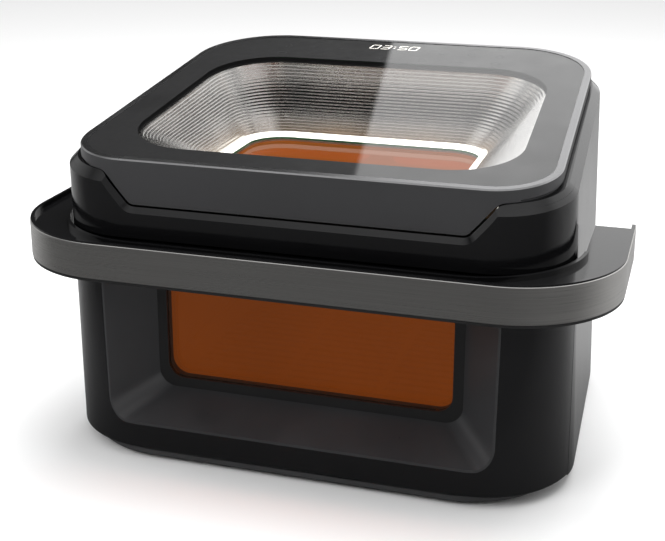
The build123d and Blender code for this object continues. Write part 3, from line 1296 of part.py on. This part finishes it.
handle_seats = [
    (x, y, BAND_LOW)
    for x, y in ((-GRIP_SCREW_X, GRIP_SCREW_FRONT), (GRIP_SCREW_X, GRIP_SCREW_FRONT),
                 (-GRIP_SCREW_X, GRIP_SCREW_REAR), (GRIP_SCREW_X, GRIP_SCREW_REAR))
]
with BuildPart() as handle_cover:
    add(slab(handle_plan(BAND_SHEET, BAND_LOW), COVER_SHEET))
    add(slab(handle_plan(TRIM_SETBACK, BAND_LOW - TRIM_LOW), TRIM_LOW))
    add(handle_hole(0, 0, FAR), mode=Mode.SUBTRACT)
    add(screw_holes(handle_seats, (0, 0, 1)), mode=Mode.SUBTRACT)
    for x, y, z in handle_seats:
        add(rod(SCREW_HEAD_RADIUS + SCREW_POCKET_SLIP, (x, y, z - TRIM_LOW), (x, y, z)),
            mode=Mode.SUBTRACT)
save(handle_cover, "handle_cover")

with BuildPart() as handle_screws:
    add(screws(handle_seats, (0, 0, 1)))
save(handle_screws, "handle_screws")

with BuildPart() as handle_bridge:
    add(block((-BRIDGE_HALF, BRIDGE_HALF), (TRAY_FRONT_IN, HOUSING_FRONT), (BRIDGE_LOW, BRIDGE_HIGH)))
save(handle_bridge, "handle_bridge")
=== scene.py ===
"""Looks of the countertop air fryer: materials (the ribbed reflector's metal among them), the lit
display, light and camera.

Metres, in the same frame as the solids: +X to the user's right, +Y to the rear, +Z up.
"""
import json
from math import cos, pi, radians, sin, tan

import bpy
from mathutils import Matrix, Vector


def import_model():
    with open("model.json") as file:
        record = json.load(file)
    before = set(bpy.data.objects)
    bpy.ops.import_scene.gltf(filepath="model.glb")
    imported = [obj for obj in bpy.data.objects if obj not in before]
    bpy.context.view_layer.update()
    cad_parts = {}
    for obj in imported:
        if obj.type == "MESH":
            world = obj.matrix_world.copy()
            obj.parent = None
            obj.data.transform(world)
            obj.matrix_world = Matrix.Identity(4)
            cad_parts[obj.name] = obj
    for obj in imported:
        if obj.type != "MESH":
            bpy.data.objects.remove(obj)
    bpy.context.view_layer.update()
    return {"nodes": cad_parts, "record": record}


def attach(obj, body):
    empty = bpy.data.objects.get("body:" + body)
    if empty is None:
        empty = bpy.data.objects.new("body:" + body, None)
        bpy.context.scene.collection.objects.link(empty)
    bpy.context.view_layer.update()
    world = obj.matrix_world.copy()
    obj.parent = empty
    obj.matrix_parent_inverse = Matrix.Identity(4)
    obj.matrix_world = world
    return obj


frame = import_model()
nodes = frame["nodes"]

# The photograph's camera
PHOTO_WIDTH = 665
SENSOR = 36.0
FOCAL_PIXELS = 1267.24
CAMERA_PLACE = Vector((0.260, -0.911, 0.446))
CAMERA_AIM = Vector((-0.0536, 0.0953, 0.119))
CAMERA_SHIFT = (0.0113, -0.0832)
CLIP_START = 0.01

# Sloping top of the solids: its front edge, its slope and how far the glass lies below it
TOP_FRONT = -0.151
TOP_HEIGHT = 0.2256
TOP_SLOPE = radians(7.05)
GLASS_DROP = 0.0003

# Edge of the bright reflection on the glass, as two points (X, Y) on the glass
REFLECTION_REAR = (-0.012, 0.165)
REFLECTION_FRONT = (0.043, -0.150)

# Outlines of the glass and of the clear view in it: half width at the front and the rear,
# Y of the front and the rear, corner radius at the front and the rear
GLASS_OUTLINE = (0.1677, 0.1595, -0.1455, 0.1545, 0.0405, 0.0625)
VIEW_OUTLINE = (0.1430, 0.1375, -0.1230, 0.0975, 0.0500, 0.0540)

# Lower end of the reflector, and how far up from it the painted warm glow of the lamp ring reaches
FUNNEL_LOW = 0.203
PAINTED_GLOW_REACH = 0.016

# Steps in each rounded corner and along each straight edge
CORNER_STEPS = 20
EDGE_STEPS = 10

TOP_NORMAL = Vector((0, -sin(TOP_SLOPE), cos(TOP_SLOPE)))


def on_top(x, y, drop=0.0):
    """Point on the sloping top above a plan position, moved down along the top's normal."""
    rise = (y - TOP_FRONT) * tan(TOP_SLOPE)
    return Vector((x, y, TOP_HEIGHT + rise - drop / cos(TOP_SLOPE)))


# Node helpers

def shader(tree, kind, inputs=None, **settings):
    """Add a shader node, set its options and its inputs, which are values or other sockets."""
    made = tree.nodes.new("ShaderNode" + kind)
    for key, value in settings.items():
        setattr(made, key, value)
    for key, value in (inputs or {}).items():
        if isinstance(value, bpy.types.NodeSocket):
            tree.links.new(value, made.inputs[key])
        else:
            made.inputs[key].default_value = value
    return made


def new_material(name):
    """An empty node material, its tree and a function that links a surface to its output."""
    material = bpy.data.materials.new(name)
    material.use_nodes = True
    tree = material.node_tree
    tree.nodes.clear()
    output = tree.nodes.new("ShaderNodeOutputMaterial")

    def finish(surface):
        tree.links.new(surface, output.inputs["Surface"])
        return material

    return tree, finish


def place(tree, scale=(1.0, 1.0, 1.0)):
    """The piece's own coordinates in metres, stretched along each axis."""
    where = shader(tree, "TexCoord").outputs["Object"]
    return shader(tree, "Mapping", {"Vector": where, "Scale": scale}).outputs["Vector"]


def noise(tree, scale, stretch=(1.0, 1.0, 1.0), detail=3.0, roughness=0.5):
    """Noise between 0 and 1, with so many features to the metre."""
    return shader(tree, "TexNoise", {
        "Vector": place(tree, stretch), "Scale": scale, "Detail": detail, "Roughness": roughness,
    }).outputs["Fac"]


def spread(tree, value, low, high, start=0.3, end=0.7):
    """Map a value from one range to another."""
    return shader(tree, "MapRange", {
        "Value": value, "From Min": start, "From Max": end, "To Min": low, "To Max": high,
    }).outputs["Result"]


def tint(tree, value, dark, light):
    """Blend two colours by a value between 0 and 1."""
    mix = shader(tree, "Mix", data_type="RGBA")
    tree.links.new(value, mix.inputs["Factor"])
    mix.inputs[6].default_value = (*dark, 1.0)
    mix.inputs[7].default_value = (*light, 1.0)
    return mix.outputs[2]


def bump(tree, height, depth, **under):
    """Bump of a depth in metres, on top of another normal where one is given."""
    inputs = {"Height": height, "Distance": depth, "Strength": 1.0, **under}
    return shader(tree, "Bump", inputs).outputs["Normal"]


def shades(colour, vary):
    """A darker and a lighter shade of a colour."""
    return tuple(c * (1 - vary) for c in colour), tuple(c * (1 + vary) for c in colour)


def math(tree, operation, first, second=0.0):
    """One arithmetic step on values or sockets."""
    return shader(tree, "Math", {0: first, 1: second}, operation=operation).outputs[0]


# Materials

RIPPLE_DEPTH = 0.00002
GLASS_ROUGH = 0.02


def plastic(name, colour, rough, grain=0.0, grain_size=0.0004, vary=0.25):
    """Moulded plastic: a fine grain, faint wavy gloss, and handling marks in the roughness."""
    tree, finish = new_material(name)
    marks = noise(tree, 22.0, detail=6.0, roughness=0.65)
    ripple = noise(tree, 160.0, detail=1.0)
    normal = bump(tree, ripple, RIPPLE_DEPTH)
    if grain:
        speck = noise(tree, 1 / grain_size, detail=2.0)
        normal = bump(tree, speck, grain, Normal=normal)
    surface = shader(tree, "BsdfPrincipled", {
        "Base Color": tint(tree, marks, *shades(colour, vary)),
        "Roughness": spread(tree, marks, rough * 0.8, rough * 1.3),
        "Normal": normal,
    })
    return finish(surface.outputs[0])


def brushed(name, colour, rough, stretch, depth=0.00002, vary=0.3):
    """Metal with fine brush lines, long along the small axes of the stretch."""
    tree, finish = new_material(name)
    lines = noise(tree, 1.0, stretch, detail=4.0, roughness=0.7)
    cloud = noise(tree, 14.0, detail=2.0)
    wear = math(tree, "MULTIPLY", lines, math(tree, "ADD", cloud, 0.5))
    surface = shader(tree, "BsdfPrincipled", {
        "Base Color": tint(tree, lines, *shades(colour, vary)), "Metallic": 1.0,
        "Roughness": spread(tree, wear, rough * 0.75, rough * 1.3),
        "Normal": bump(tree, lines, depth),
    })
    return finish(surface.outputs[0])


def thin_glass(name, colour, ior=1.5, glow=None, body=0.0):
    """Sheet glass: tinted clear light through it, gloss on it, and where asked a painted glow, an
    emission in the glass body in place of light on it from inside.
    """
    tree, finish = new_material(name)
    smudge = noise(tree, 18.0, detail=5.0, roughness=0.6)
    clear = shader(tree, "BsdfTransparent", {"Color": (*colour, 1.0)}).outputs[0]
    if glow is not None:
        # Painted glow: the glass body emits light of the given colour, unevenly, though the glass is no
        # lamp.
        shade = noise(tree, 9.0, detail=1.0)
        painted_glass_glow = shader(tree, "Emission", {
            "Color": tint(tree, shade, tuple(c * 0.8 for c in glow), tuple(c * 1.15 for c in glow)),
        }).outputs[0]
        clear = shader(tree, "MixShader", {0: body, 1: clear, 2: painted_glass_glow}).outputs[0]
    gloss = shader(tree, "BsdfGlossy", {
        "Color": (1.0, 1.0, 1.0, 1.0),
        "Roughness": spread(tree, smudge, GLASS_ROUGH * 0.6, GLASS_ROUGH * 2.0),
    }).outputs[0]
    outside = math(tree, "SUBTRACT", 1.0, shader(tree, "NewGeometry").outputs["Backfacing"])
    share = math(tree, "MULTIPLY", shader(tree, "Fresnel", {"IOR": ior}).outputs[0], outside)
    return finish(shader(tree, "MixShader", {0: share, 1: clear, 2: gloss}).outputs[0])


def satin_frame():
    """Satin dark paint on the apron, and bright bare metal where the rim faces up."""
    tree, finish = new_material("satin_frame")
    grain = noise(tree, 900.0, detail=3.0)
    cloud = noise(tree, 12.0, detail=4.0)
    normal = shader(tree, "NewGeometry").outputs["True Normal"]
    up = shader(tree, "VectorMath", {0: normal, 1: TOP_NORMAL}, operation="DOT_PRODUCT").outputs["Value"]
    bare = spread(tree, up, 0.0, 1.0, 0.45, 0.6)
    paint = shader(tree, "BsdfPrincipled", {
        "Base Color": tint(tree, cloud, (0.075, 0.075, 0.078), (0.095, 0.095, 0.099)),
        "Metallic": 0.55, "Roughness": spread(tree, cloud, 0.34, 0.42),
        "Normal": bump(tree, grain, 0.00001),
    }).outputs[0]
    metal = shader(tree, "BsdfPrincipled", {
        "Base Color": tint(tree, grain, (0.27, 0.27, 0.275), (0.37, 0.37, 0.375)),
        "Metallic": 1.0, "Roughness": spread(tree, cloud, 0.2, 0.3),
    }).outputs[0]
    return finish(shader(tree, "MixShader", {0: bare, 1: paint, 2: metal}).outputs[0])


def reflector_metal():
    """Bright drawn metal of the reflector, with a painted warm glow near its lower end in place of the
    lamp ring's light.
    """
    tree, finish = new_material("reflector_metal")
    streak = noise(tree, 1.0, (60.0, 60.0, 900.0), detail=3.0)
    cloud = noise(tree, 20.0, detail=3.0)
    height = shader(tree, "SeparateXYZ", {0: shader(tree, "TexCoord").outputs["Object"]}).outputs["Z"]
    near = spread(tree, height, 1.0, 0.0, FUNNEL_LOW, FUNNEL_LOW + PAINTED_GLOW_REACH)
    metal = shader(tree, "BsdfPrincipled", {
        "Base Color": tint(tree, streak, (0.78, 0.77, 0.755), (0.95, 0.94, 0.92)),
        "Metallic": 1.0, "Roughness": spread(tree, cloud, 0.17, 0.26),
        "Normal": bump(tree, streak, 0.00001),
    }).outputs[0]
    # Painted glow: an emission near the lower end stands in for the lamp ring's warm light on the metal.
    painted_warm_glow = shader(tree, "Emission", {"Color": (1.0, 0.55, 0.18, 1.0), "Strength": 0.5}).outputs[0]
    patchy = math(tree, "MULTIPLY", cloud, 0.5)
    share = math(tree, "MULTIPLY", math(tree, "MULTIPLY", near, near), patchy)
    return finish(shader(tree, "MixShader", {0: share, 1: metal, 2: painted_warm_glow}).outputs[0])


def lit(name, colour, strength, vary=0.04):
    """A lit diffuser, a little uneven as its light spreads."""
    tree, finish = new_material(name)
    spots = noise(tree, 45.0, detail=1.0)
    surface = shader(tree, "Emission", {
        "Color": tint(tree, spots, tuple(c * (1 - vary) for c in colour), colour), "Strength": strength,
    })
    return finish(surface.outputs[0])


def hot_element():
    """Oxidised heater sheath with a dull orange glow that is uneven along its length."""
    tree, finish = new_material("hot_element")
    patch = noise(tree, 40.0, detail=3.0)
    speck = noise(tree, 1200.0, detail=2.0)
    surface = shader(tree, "BsdfPrincipled", {
        "Base Color": tint(tree, patch, (0.05, 0.03, 0.02), (0.11, 0.06, 0.04)),
        "Metallic": 0.6, "Roughness": spread(tree, patch, 0.45, 0.65),
        "Normal": bump(tree, speck, 0.00004),
        "Emission Color": tint(tree, patch, (0.9, 0.22, 0.03), (1.0, 0.34, 0.06)),
        "Emission Strength": 1.6,
    })
    return finish(surface.outputs[0])


def coating(name, colour):
    """Sprayed non-stick coating: dark, satin, with a fine pebbled surface and pale flecks."""
    tree, finish = new_material(name)
    fleck = shader(tree, "TexVoronoi", {"Vector": place(tree), "Scale": 700.0}).outputs["Distance"]
    pebble = noise(tree, 900.0, detail=3.0)
    cloud = noise(tree, 16.0, detail=4.0)
    pale = spread(tree, fleck, 1.0, 0.0, 0.0, 0.12)
    surface = shader(tree, "BsdfPrincipled", {
        "Base Color": tint(tree, pale, colour, tuple(c * 4 for c in colour)),
        "Roughness": spread(tree, cloud, 0.28, 0.42), "Normal": bump(tree, pebble, 0.00003),
    })
    return finish(surface.outputs[0])


def circuit_board():
    """Green solder mask over copper tracks, with pale pads."""
    tree, finish = new_material("circuit_board")
    track = shader(tree, "TexBrick", {
        "Vector": place(tree), "Scale": 160.0, "Mortar Size": 0.06,
        "Color1": (0.02, 0.10, 0.05, 1.0), "Color2": (0.03, 0.13, 0.06, 1.0),
        "Mortar": (0.06, 0.22, 0.10, 1.0),
    })
    surface = shader(tree, "BsdfPrincipled", {
        "Base Color": track.outputs["Color"], "Roughness": spread(tree, noise(tree, 60.0), 0.25, 0.4),
        "Normal": bump(tree, track.outputs["Fac"], 0.00003),
    })
    return finish(surface.outputs[0])


# Noise features to the metre along X, Y and Z: level lines, upright lines and two even grains
LINES_FLAT = (7.0, 7.0, 2200.0)
LINES_UP = (900.0, 900.0, 9.0)
GRAIN_FINE = (500.0, 500.0, 500.0)
GRAIN_COARSE = (400.0, 400.0, 400.0)
looks = {
    "gloss_black": plastic("gloss_black", (0.006, 0.006, 0.0065), 0.10),
    "print_black": plastic("print_black", (0.006, 0.006, 0.0065), 0.50, vary=0.1),
    "base_grey": plastic("base_grey", (0.045, 0.045, 0.047), 0.45, grain=0.00004),
    "black_plastic": plastic("black_plastic", (0.012, 0.012, 0.0125), 0.42, grain=0.00003),
    "recess_grey": plastic("recess_grey", (0.032, 0.032, 0.034), 0.34),
    "rubber": plastic("rubber", (0.012, 0.012, 0.012), 0.75, grain=0.00006, grain_size=0.0007),
    "silicone": plastic("silicone", (0.03, 0.03, 0.032), 0.55, grain=0.00002),
    "dark_steel": brushed("dark_steel", (0.56, 0.55, 0.535), 0.32, LINES_FLAT),
    "chamber_steel": brushed("chamber_steel", (0.42, 0.41, 0.40), 0.34, LINES_UP),
    "zinc": brushed("zinc", (0.52, 0.52, 0.53), 0.38, GRAIN_FINE),
    "aluminium": brushed("aluminium", (0.72, 0.72, 0.73), 0.42, GRAIN_COARSE, depth=0.00004),
    "satin_grey": satin_frame(),
    "bright_steel": reflector_metal(),
    "top_glass": thin_glass("top_glass", (0.97, 0.97, 0.97)),
    "clear_glass": thin_glass("clear_glass", (0.86, 0.80, 0.70)),
    # The amber glass gets a painted glow: emission in its body in place of real light on it.
    "amber_glass": thin_glass(
        "amber_glass", (0.80, 0.36, 0.07), ior=1.05, glow=(0.42, 0.12, 0.015), body=0.7
    ),
    "lamp_white": lit("lamp_white", (1.0, 0.97, 0.90), 2.6),
    "mark_grey": lit("mark_grey", (0.13, 0.13, 0.13), 1.0, vary=0.2),
    "board_green": circuit_board(),
    "pan_coating": coating("pan_coating", (0.022, 0.021, 0.020)),
    "heater": hot_element(),
}
slots = {part["node"]: part["material_slot"] for part in frame["record"]["subparts"]}
for name, node in nodes.items():
    node.data.materials.clear()
    node.data.materials.append(looks[slots[name]])
# The window pane gets a painted amber glow: emission in its body in place of the lit chamber behind it.
nodes["inner_pane"].data.materials[0] = thin_glass(
    "window_amber", (0.90, 0.55, 0.22), glow=(0.27, 0.072, 0.006), body=0.5
)


# Mesh helpers

def rounded_plan(half_front, half_rear, front, rear, corner_front, corner_rear):
    """Points (X, Y) round a symmetric four-sided outline with rounded corners, anticlockwise."""
    sharp = [(-half_front, front), (half_front, front), (half_rear, rear), (-half_rear, rear)]
    radii = [corner_front, corner_front, corner_rear, corner_rear]
    arcs = []
    for k in range(4):
        here = Vector(sharp[k])
        back = (Vector(sharp[k - 1]) - here).normalized()
        ahead = (Vector(sharp[(k + 1) % 4]) - here).normalized()
        half_angle = back.angle(ahead) / 2
        middle = here + (back + ahead).normalized() * radii[k] / sin(half_angle)
        start = here + back * radii[k] * cos(half_angle) / sin(half_angle) - middle
        turn = pi - 2 * half_angle
        arcs.append([
            middle + Matrix.Rotation(turn * step / CORNER_STEPS, 2) @ start
            for step in range(CORNER_STEPS + 1)
        ])
    points = []
    for k in range(4):
        points += arcs[k]
        last = arcs[k][-1]
        following = arcs[(k + 1) % 4][0]
        points += [last.lerp(following, step / EDGE_STEPS) for step in range(1, EDGE_STEPS)]
    return points


def mesh_piece(name, vertices, faces, look):
    """A flat-shaded mesh object on the fixed body, with a look."""
    mesh = bpy.data.meshes.new(name)
    mesh.from_pydata([tuple(v) for v in vertices], [], faces)
    mesh.validate()
    piece = bpy.data.objects.new(name, mesh)
    bpy.context.scene.collection.objects.link(piece)
    piece.data.materials.append(looks[look])
    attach(piece, "root")


# Black print round the clear view and the signs on it, just below the upper face of the glass

PRINT_DEPTH = GLASS_DROP + 0.0003
SIGN_DEPTH = GLASS_DROP + 0.0001


def glass_print():
    """Flat ring between the outline of the glass and the clear view."""
    outer = rounded_plan(*GLASS_OUTLINE)
    inner = rounded_plan(*VIEW_OUTLINE)
    count = len(outer)
    vertices = [on_top(x, y, PRINT_DEPTH) for x, y in outer + inner]
    faces = [(k, (k + 1) % count, (k + 1) % count + count, k + count) for k in range(count)]
    mesh_piece("glass_print", vertices, faces, "print_black")


glass_print()

# Lit signs on the print: a four-digit clock and the touch symbols

CLOCK_TEXT = "0350"
CLOCK_LEFT = -0.0265
CLOCK_RIGHT = 0.0185
CLOCK_FRONT = 0.1338
CLOCK_REAR = 0.1438
CLOCK_LEAN = 0.14
CLOCK_STROKE = 0.0011
SEGMENT_GAP = 0.55
STROKE_OVERLAP = 0.3
DOT_HEIGHTS = (0.3, 0.7)

# Shares of the pitch from digit to digit: whole clock, gap at the dots, margin, digit, dots
CLOCK_PITCHES = 4.7
DOTS_GAP = 0.55
DIGIT_MARGIN = 0.1
DIGIT_WIDTH = 0.72
DOTS_PLACE = 2.25
SEGMENTS = {
    "0": "abcdef", "1": "bc", "2": "abged", "3": "abgcd", "4": "fgbc",
    "5": "afgcd", "6": "afgedc", "7": "abc", "8": "abcdefg", "9": "abcdfg",
}


def strip(points, width):
    """Flat ribbon along points (X, Y) that are in order, as quads in the plane."""
    quads = []
    for a, b in zip(points, points[1:]):
        along = (b - a).normalized()
        side = Vector((-along.y, along.x)) * width / 2
        start = a - along * width * STROKE_OVERLAP
        end = b + along * width * STROKE_OVERLAP
        quads.append([start - side, end - side, end + side, start + side])
    return quads


def sign_piece(name, quads, look):
    """Flat shapes (X, Y) laid just above the print."""
    vertices = []
    faces = []
    for quad in quads:
        faces.append(tuple(range(len(vertices), len(vertices) + len(quad))))
        vertices += [on_top(p.x, p.y, SIGN_DEPTH) for p in quad]
    mesh_piece(name, vertices, faces, look)


def leaned(x, y):
    """Corner of a digit, leaned to the right towards the rear."""
    return Vector((x + (y - CLOCK_FRONT) * CLOCK_LEAN, y))


def segment_ends(left, right):
    """The two ends of each segment of a digit, by the segment's letter."""
    middle = (CLOCK_FRONT + CLOCK_REAR) / 2
    front_left, front_right = leaned(left, CLOCK_FRONT), leaned(right, CLOCK_FRONT)
    middle_left, middle_right = leaned(left, middle), leaned(right, middle)
    rear_left, rear_right = leaned(left, CLOCK_REAR), leaned(right, CLOCK_REAR)
    return {
        "a": (rear_left, rear_right), "g": (middle_left, middle_right), "d": (front_left, front_right),
        "f": (middle_left, rear_left), "b": (middle_right, rear_right),
        "e": (front_left, middle_left), "c": (front_right, middle_right),
    }


def clock():
    """Seven-segment digits with a slight lean, and the two dots between the pairs."""
    pitch = (CLOCK_RIGHT - CLOCK_LEFT) / CLOCK_PITCHES
    high = CLOCK_REAR - CLOCK_FRONT
    quads = []
    for k, digit in enumerate(CLOCK_TEXT):
        past_dots = DOTS_GAP if k > 1 else 0.0
        left = CLOCK_LEFT + pitch * (k + past_dots) + pitch * DIGIT_MARGIN
        ends = segment_ends(left, left + pitch * DIGIT_WIDTH)
        for letter in SEGMENTS[digit]:
            a, b = ends[letter]
            gap = (b - a).normalized() * CLOCK_STROKE * SEGMENT_GAP
            quads += strip([a + gap, b - gap], CLOCK_STROKE)
    centre = CLOCK_LEFT + pitch * DOTS_PLACE
    for share in DOT_HEIGHTS:
        y = CLOCK_FRONT + high * share
        quads += strip([Vector((centre, y)), Vector((centre + CLOCK_STROKE, y))], CLOCK_STROKE)
    sign_piece("clock_digits", quads, "lamp_white")


clock()

# Touch areas: plain marks of one size, as (kind, X, Y)
MARK = 0.0036
MARK_STROKE = 0.0006
MARKS = (
    ("bars", -0.0957, 0.1473), ("ring", -0.0728, 0.1481), ("bowl", -0.0484, 0.1477),
    ("drop", -0.0963, 0.1284), ("cross", -0.0733, 0.1295), ("wave", -0.0484, 0.1278),
    ("ring", -0.0959, 0.1074), ("bowl", -0.0644, 0.1071), ("wave", -0.0334, 0.1069),
    ("bars", -0.0041, 0.1079), ("drop", 0.0265, 0.1091), ("cross", 0.0580, 0.1076),
    ("ring", 0.0879, 0.1092), ("wave", 0.0403, 0.1466), ("bars", 0.0643, 0.1479),
    ("ring", 0.0868, 0.1507), ("bowl", 0.0407, 0.1289), ("ring", 0.0643, 0.1303),
    ("drop", 0.0881, 0.1288), ("dot", 0.0014, 0.1520), ("dot", 0.0134, 0.1520),
)


def arc(x, y, radius_x, radius_y, start, end, steps=14):
    """Points along part of an ellipse round (X, Y), between two shares of a turn."""
    angles = [2 * pi * (start + (end - start) * step / steps) for step in range(steps + 1)]
    return [Vector((x + radius_x * cos(angle), y + radius_y * sin(angle))) for angle in angles]


def level_line(x, y, half):
    """Line to both sides of (X, Y)."""
    return [Vector((x - half, y)), Vector((x + half, y))]


def mark(kind, x, y):
    """Quads of one plain mark."""
    half = MARK
    if kind == "dot":
        return strip(arc(x, y, half * 0.2, half * 0.2, 0.0, 1.0), MARK_STROKE)
    if kind == "ring":
        return strip(arc(x, y, half, half, 0.0, 1.0), MARK_STROKE)
    if kind == "bars":
        lines = [level_line(x, y + k * half * 0.7, half) for k in (-1, 0, 1)]
        return [quad for line in lines for quad in strip(line, MARK_STROKE)]
    if kind == "bowl":
        rim = level_line(x, y, half * 1.2)
        return strip(arc(x, y, half, half * 0.9, 0.5, 1.0), MARK_STROKE) + strip(rim, MARK_STROKE)
    if kind == "drop":
        tip = Vector((x, y + half * 1.2))
        round_part = arc(x, y - half * 0.2, half * 0.75, half * 0.75, 0.4, 1.1)
        return strip([tip, *round_part, tip], MARK_STROKE)
    if kind == "cross":
        lines = [level_line(x, y, half), [Vector((x, y - half)), Vector((x, y + half))]]
        return [quad for line in lines for quad in strip(line, MARK_STROKE)]
    wave = [(x + half * 1.2 * (k / 6 - 1), y + half * 0.5 * sin(pi * k / 3)) for k in range(13)]
    return strip([Vector(point) for point in wave], MARK_STROKE)


sign_piece("touch_marks", [quad for kind, x, y in MARKS for quad in mark(kind, x, y)], "mark_grey")

# Floor, world, lamps and camera

# The floor's half size and brightness to the eye, and to mirrored rays from a front to a rear Y
FLOOR_HALF = 8.0
FLOOR_SEEN = 0.97
MIRRORED_FRONT = 0.08
MIRRORED_REAR = 0.34
MIRRORED_FADE = (-0.25, 0.15)


def floor():
    """Pale floor: white to the eye, and darker where gloss and metal mirror the room."""
    tree, finish = new_material("floor_pale")
    rays = shader(tree, "LightPath")
    y = shader(tree, "SeparateXYZ", {0: shader(tree, "TexCoord").outputs["Object"]}).outputs["Y"]
    fade = spread(tree, y, 0.0, 1.0, *MIRRORED_FADE)
    mirrored = tint(tree, fade, (MIRRORED_FRONT,) * 3, (MIRRORED_REAR,) * 3)
    mix = shader(tree, "Mix", {"Factor": rays.outputs["Is Glossy Ray"]}, data_type="RGBA")
    mix.inputs[6].default_value = (FLOOR_SEEN, FLOOR_SEEN, FLOOR_SEEN, 1.0)
    tree.links.new(mirrored, mix.inputs[7])
    surface = shader(tree, "BsdfDiffuse", {"Color": mix.outputs[2]})
    corners = [(x * FLOOR_HALF, y * FLOOR_HALF, 0) for x, y in ((-1, -1), (1, -1), (1, 1), (-1, 1))]
    mesh = bpy.data.meshes.new("floor")
    mesh.from_pydata(corners, [], [(0, 1, 2, 3)])
    piece = bpy.data.objects.new("floor", mesh)
    piece.data.materials.append(finish(surface.outputs[0]))
    bpy.context.scene.collection.objects.link(piece)


def mirrored_way(point):
    """Direction in which the camera's ray leaves the glass at a point (X, Y)."""
    ray = (on_top(*point) - CAMERA_PLACE).normalized()
    return ray - 2 * ray.dot(TOP_NORMAL) * TOP_NORMAL


# Brightness of the studio's sides, and the ranges of a direction's X, Y or Z over which they start
BRIGHT_HALF = 1.25
RIGHT_SIDE = 0.75
LEFT_BOX = 0.9
TOP_BOX = 0.9
DIM_ROOM = 0.03
EDGE_SOFTNESS = 0.002
REAR_FADE = (-0.1, 0.3)
RIGHT_FADE = (0.25, 0.7)
LEFT_FADE = (-0.95, -0.70)
TOP_FADE = (0.55, 0.85)


def world():
    """White background, and a studio with a bright right side and rear and a dim front."""
    scene_world = bpy.data.worlds.new("studio")
    bpy.context.scene.world = scene_world
    scene_world.use_nodes = True
    tree = scene_world.node_tree
    tree.nodes.clear()
    output = tree.nodes.new("ShaderNodeOutputWorld")
    way = shader(tree, "TexCoord").outputs["Generated"]
    edge = mirrored_way(REFLECTION_FRONT).cross(mirrored_way(REFLECTION_REAR)).normalized()
    if edge.x < 0:
        edge = -edge
    across = shader(tree, "VectorMath", {0: way, 1: edge}, operation="DOT_PRODUCT").outputs["Value"]
    bright = spread(tree, across, 0.0, 1.0, -EDGE_SOFTNESS, EDGE_SOFTNESS)
    parts = shader(tree, "SeparateXYZ", {0: way})
    rear = spread(tree, parts.outputs["Y"], 0.0, 1.0, *REAR_FADE)
    right = spread(tree, parts.outputs["X"], 0.0, 1.0, *RIGHT_FADE)
    left = spread(tree, parts.outputs["X"], 1.0, 0.0, *LEFT_FADE)
    top = spread(tree, parts.outputs["Z"], 0.0, 1.0, *TOP_FADE)
    level = math(tree, "MULTIPLY", math(tree, "MULTIPLY", bright, rear), BRIGHT_HALF)
    for side, brightness in ((right, RIGHT_SIDE), (left, LEFT_BOX), (top, TOP_BOX)):
        level = math(tree, "MAXIMUM", level, math(tree, "MULTIPLY", side, brightness))
    level = math(tree, "MAXIMUM", level, DIM_ROOM)
    rays = shader(tree, "LightPath")
    strength = shader(tree, "Mix", {
        "Factor": rays.outputs["Is Camera Ray"], 2: level, 3: 1.0,
    }, data_type="FLOAT").outputs[0]
    surface = shader(tree, "Background", {"Color": (1.0, 1.0, 1.0, 1.0), "Strength": strength})
    tree.links.new(surface.outputs[0], output.inputs["Surface"])


WHITE = (1.0, 1.0, 1.0)
AMBER = (1.0, 0.50, 0.16)
BODY_MIDDLE = (0, 0, 0.1)

# Lamps as (name, place, aim, size, watts, colour)
LAMPS = (
    ("top_lamp", (0.1, 0.3, 1.6), BODY_MIDDLE, 1.4, 26.0, WHITE),
    ("front_lamp", (-0.9, -1.4, 1.3), BODY_MIDDLE, 1.0, 14.0, WHITE),
    ("chamber_lamp", (0, 0, 0.178), (0, 0, 0), 0.16, 0.8, AMBER),
)


def lamp(name, place_at, aim, size, power, colour):
    """Soft square lamp that faces a point and isn't mirrored itself."""
    light = bpy.data.lights.new(name, "AREA")
    light.color = colour
    light.shape = "SQUARE"
    light.size = size
    light.energy = power
    made = bpy.data.objects.new(name, light)
    made.location = place_at
    made.rotation_euler = (Vector(aim) - Vector(place_at)).to_track_quat("-Z", "Y").to_euler()
    made.visible_glossy = False
    bpy.context.scene.collection.objects.link(made)


def camera():
    """The photograph's camera."""
    data = bpy.data.cameras.new("camera")
    data.sensor_width = SENSOR
    data.lens = FOCAL_PIXELS * SENSOR / PHOTO_WIDTH
    data.shift_x, data.shift_y = CAMERA_SHIFT
    data.clip_start = CLIP_START
    made = bpy.data.objects.new("camera", data)
    made.location = CAMERA_PLACE
    made.rotation_euler = (CAMERA_AIM - CAMERA_PLACE).to_track_quat("-Z", "Y").to_euler()
    bpy.context.scene.collection.objects.link(made)
    bpy.context.scene.camera = made


floor()
world()
for settings in LAMPS:
    lamp(*settings)
camera()
bpy.context.scene.view_settings.view_transform = "Standard"
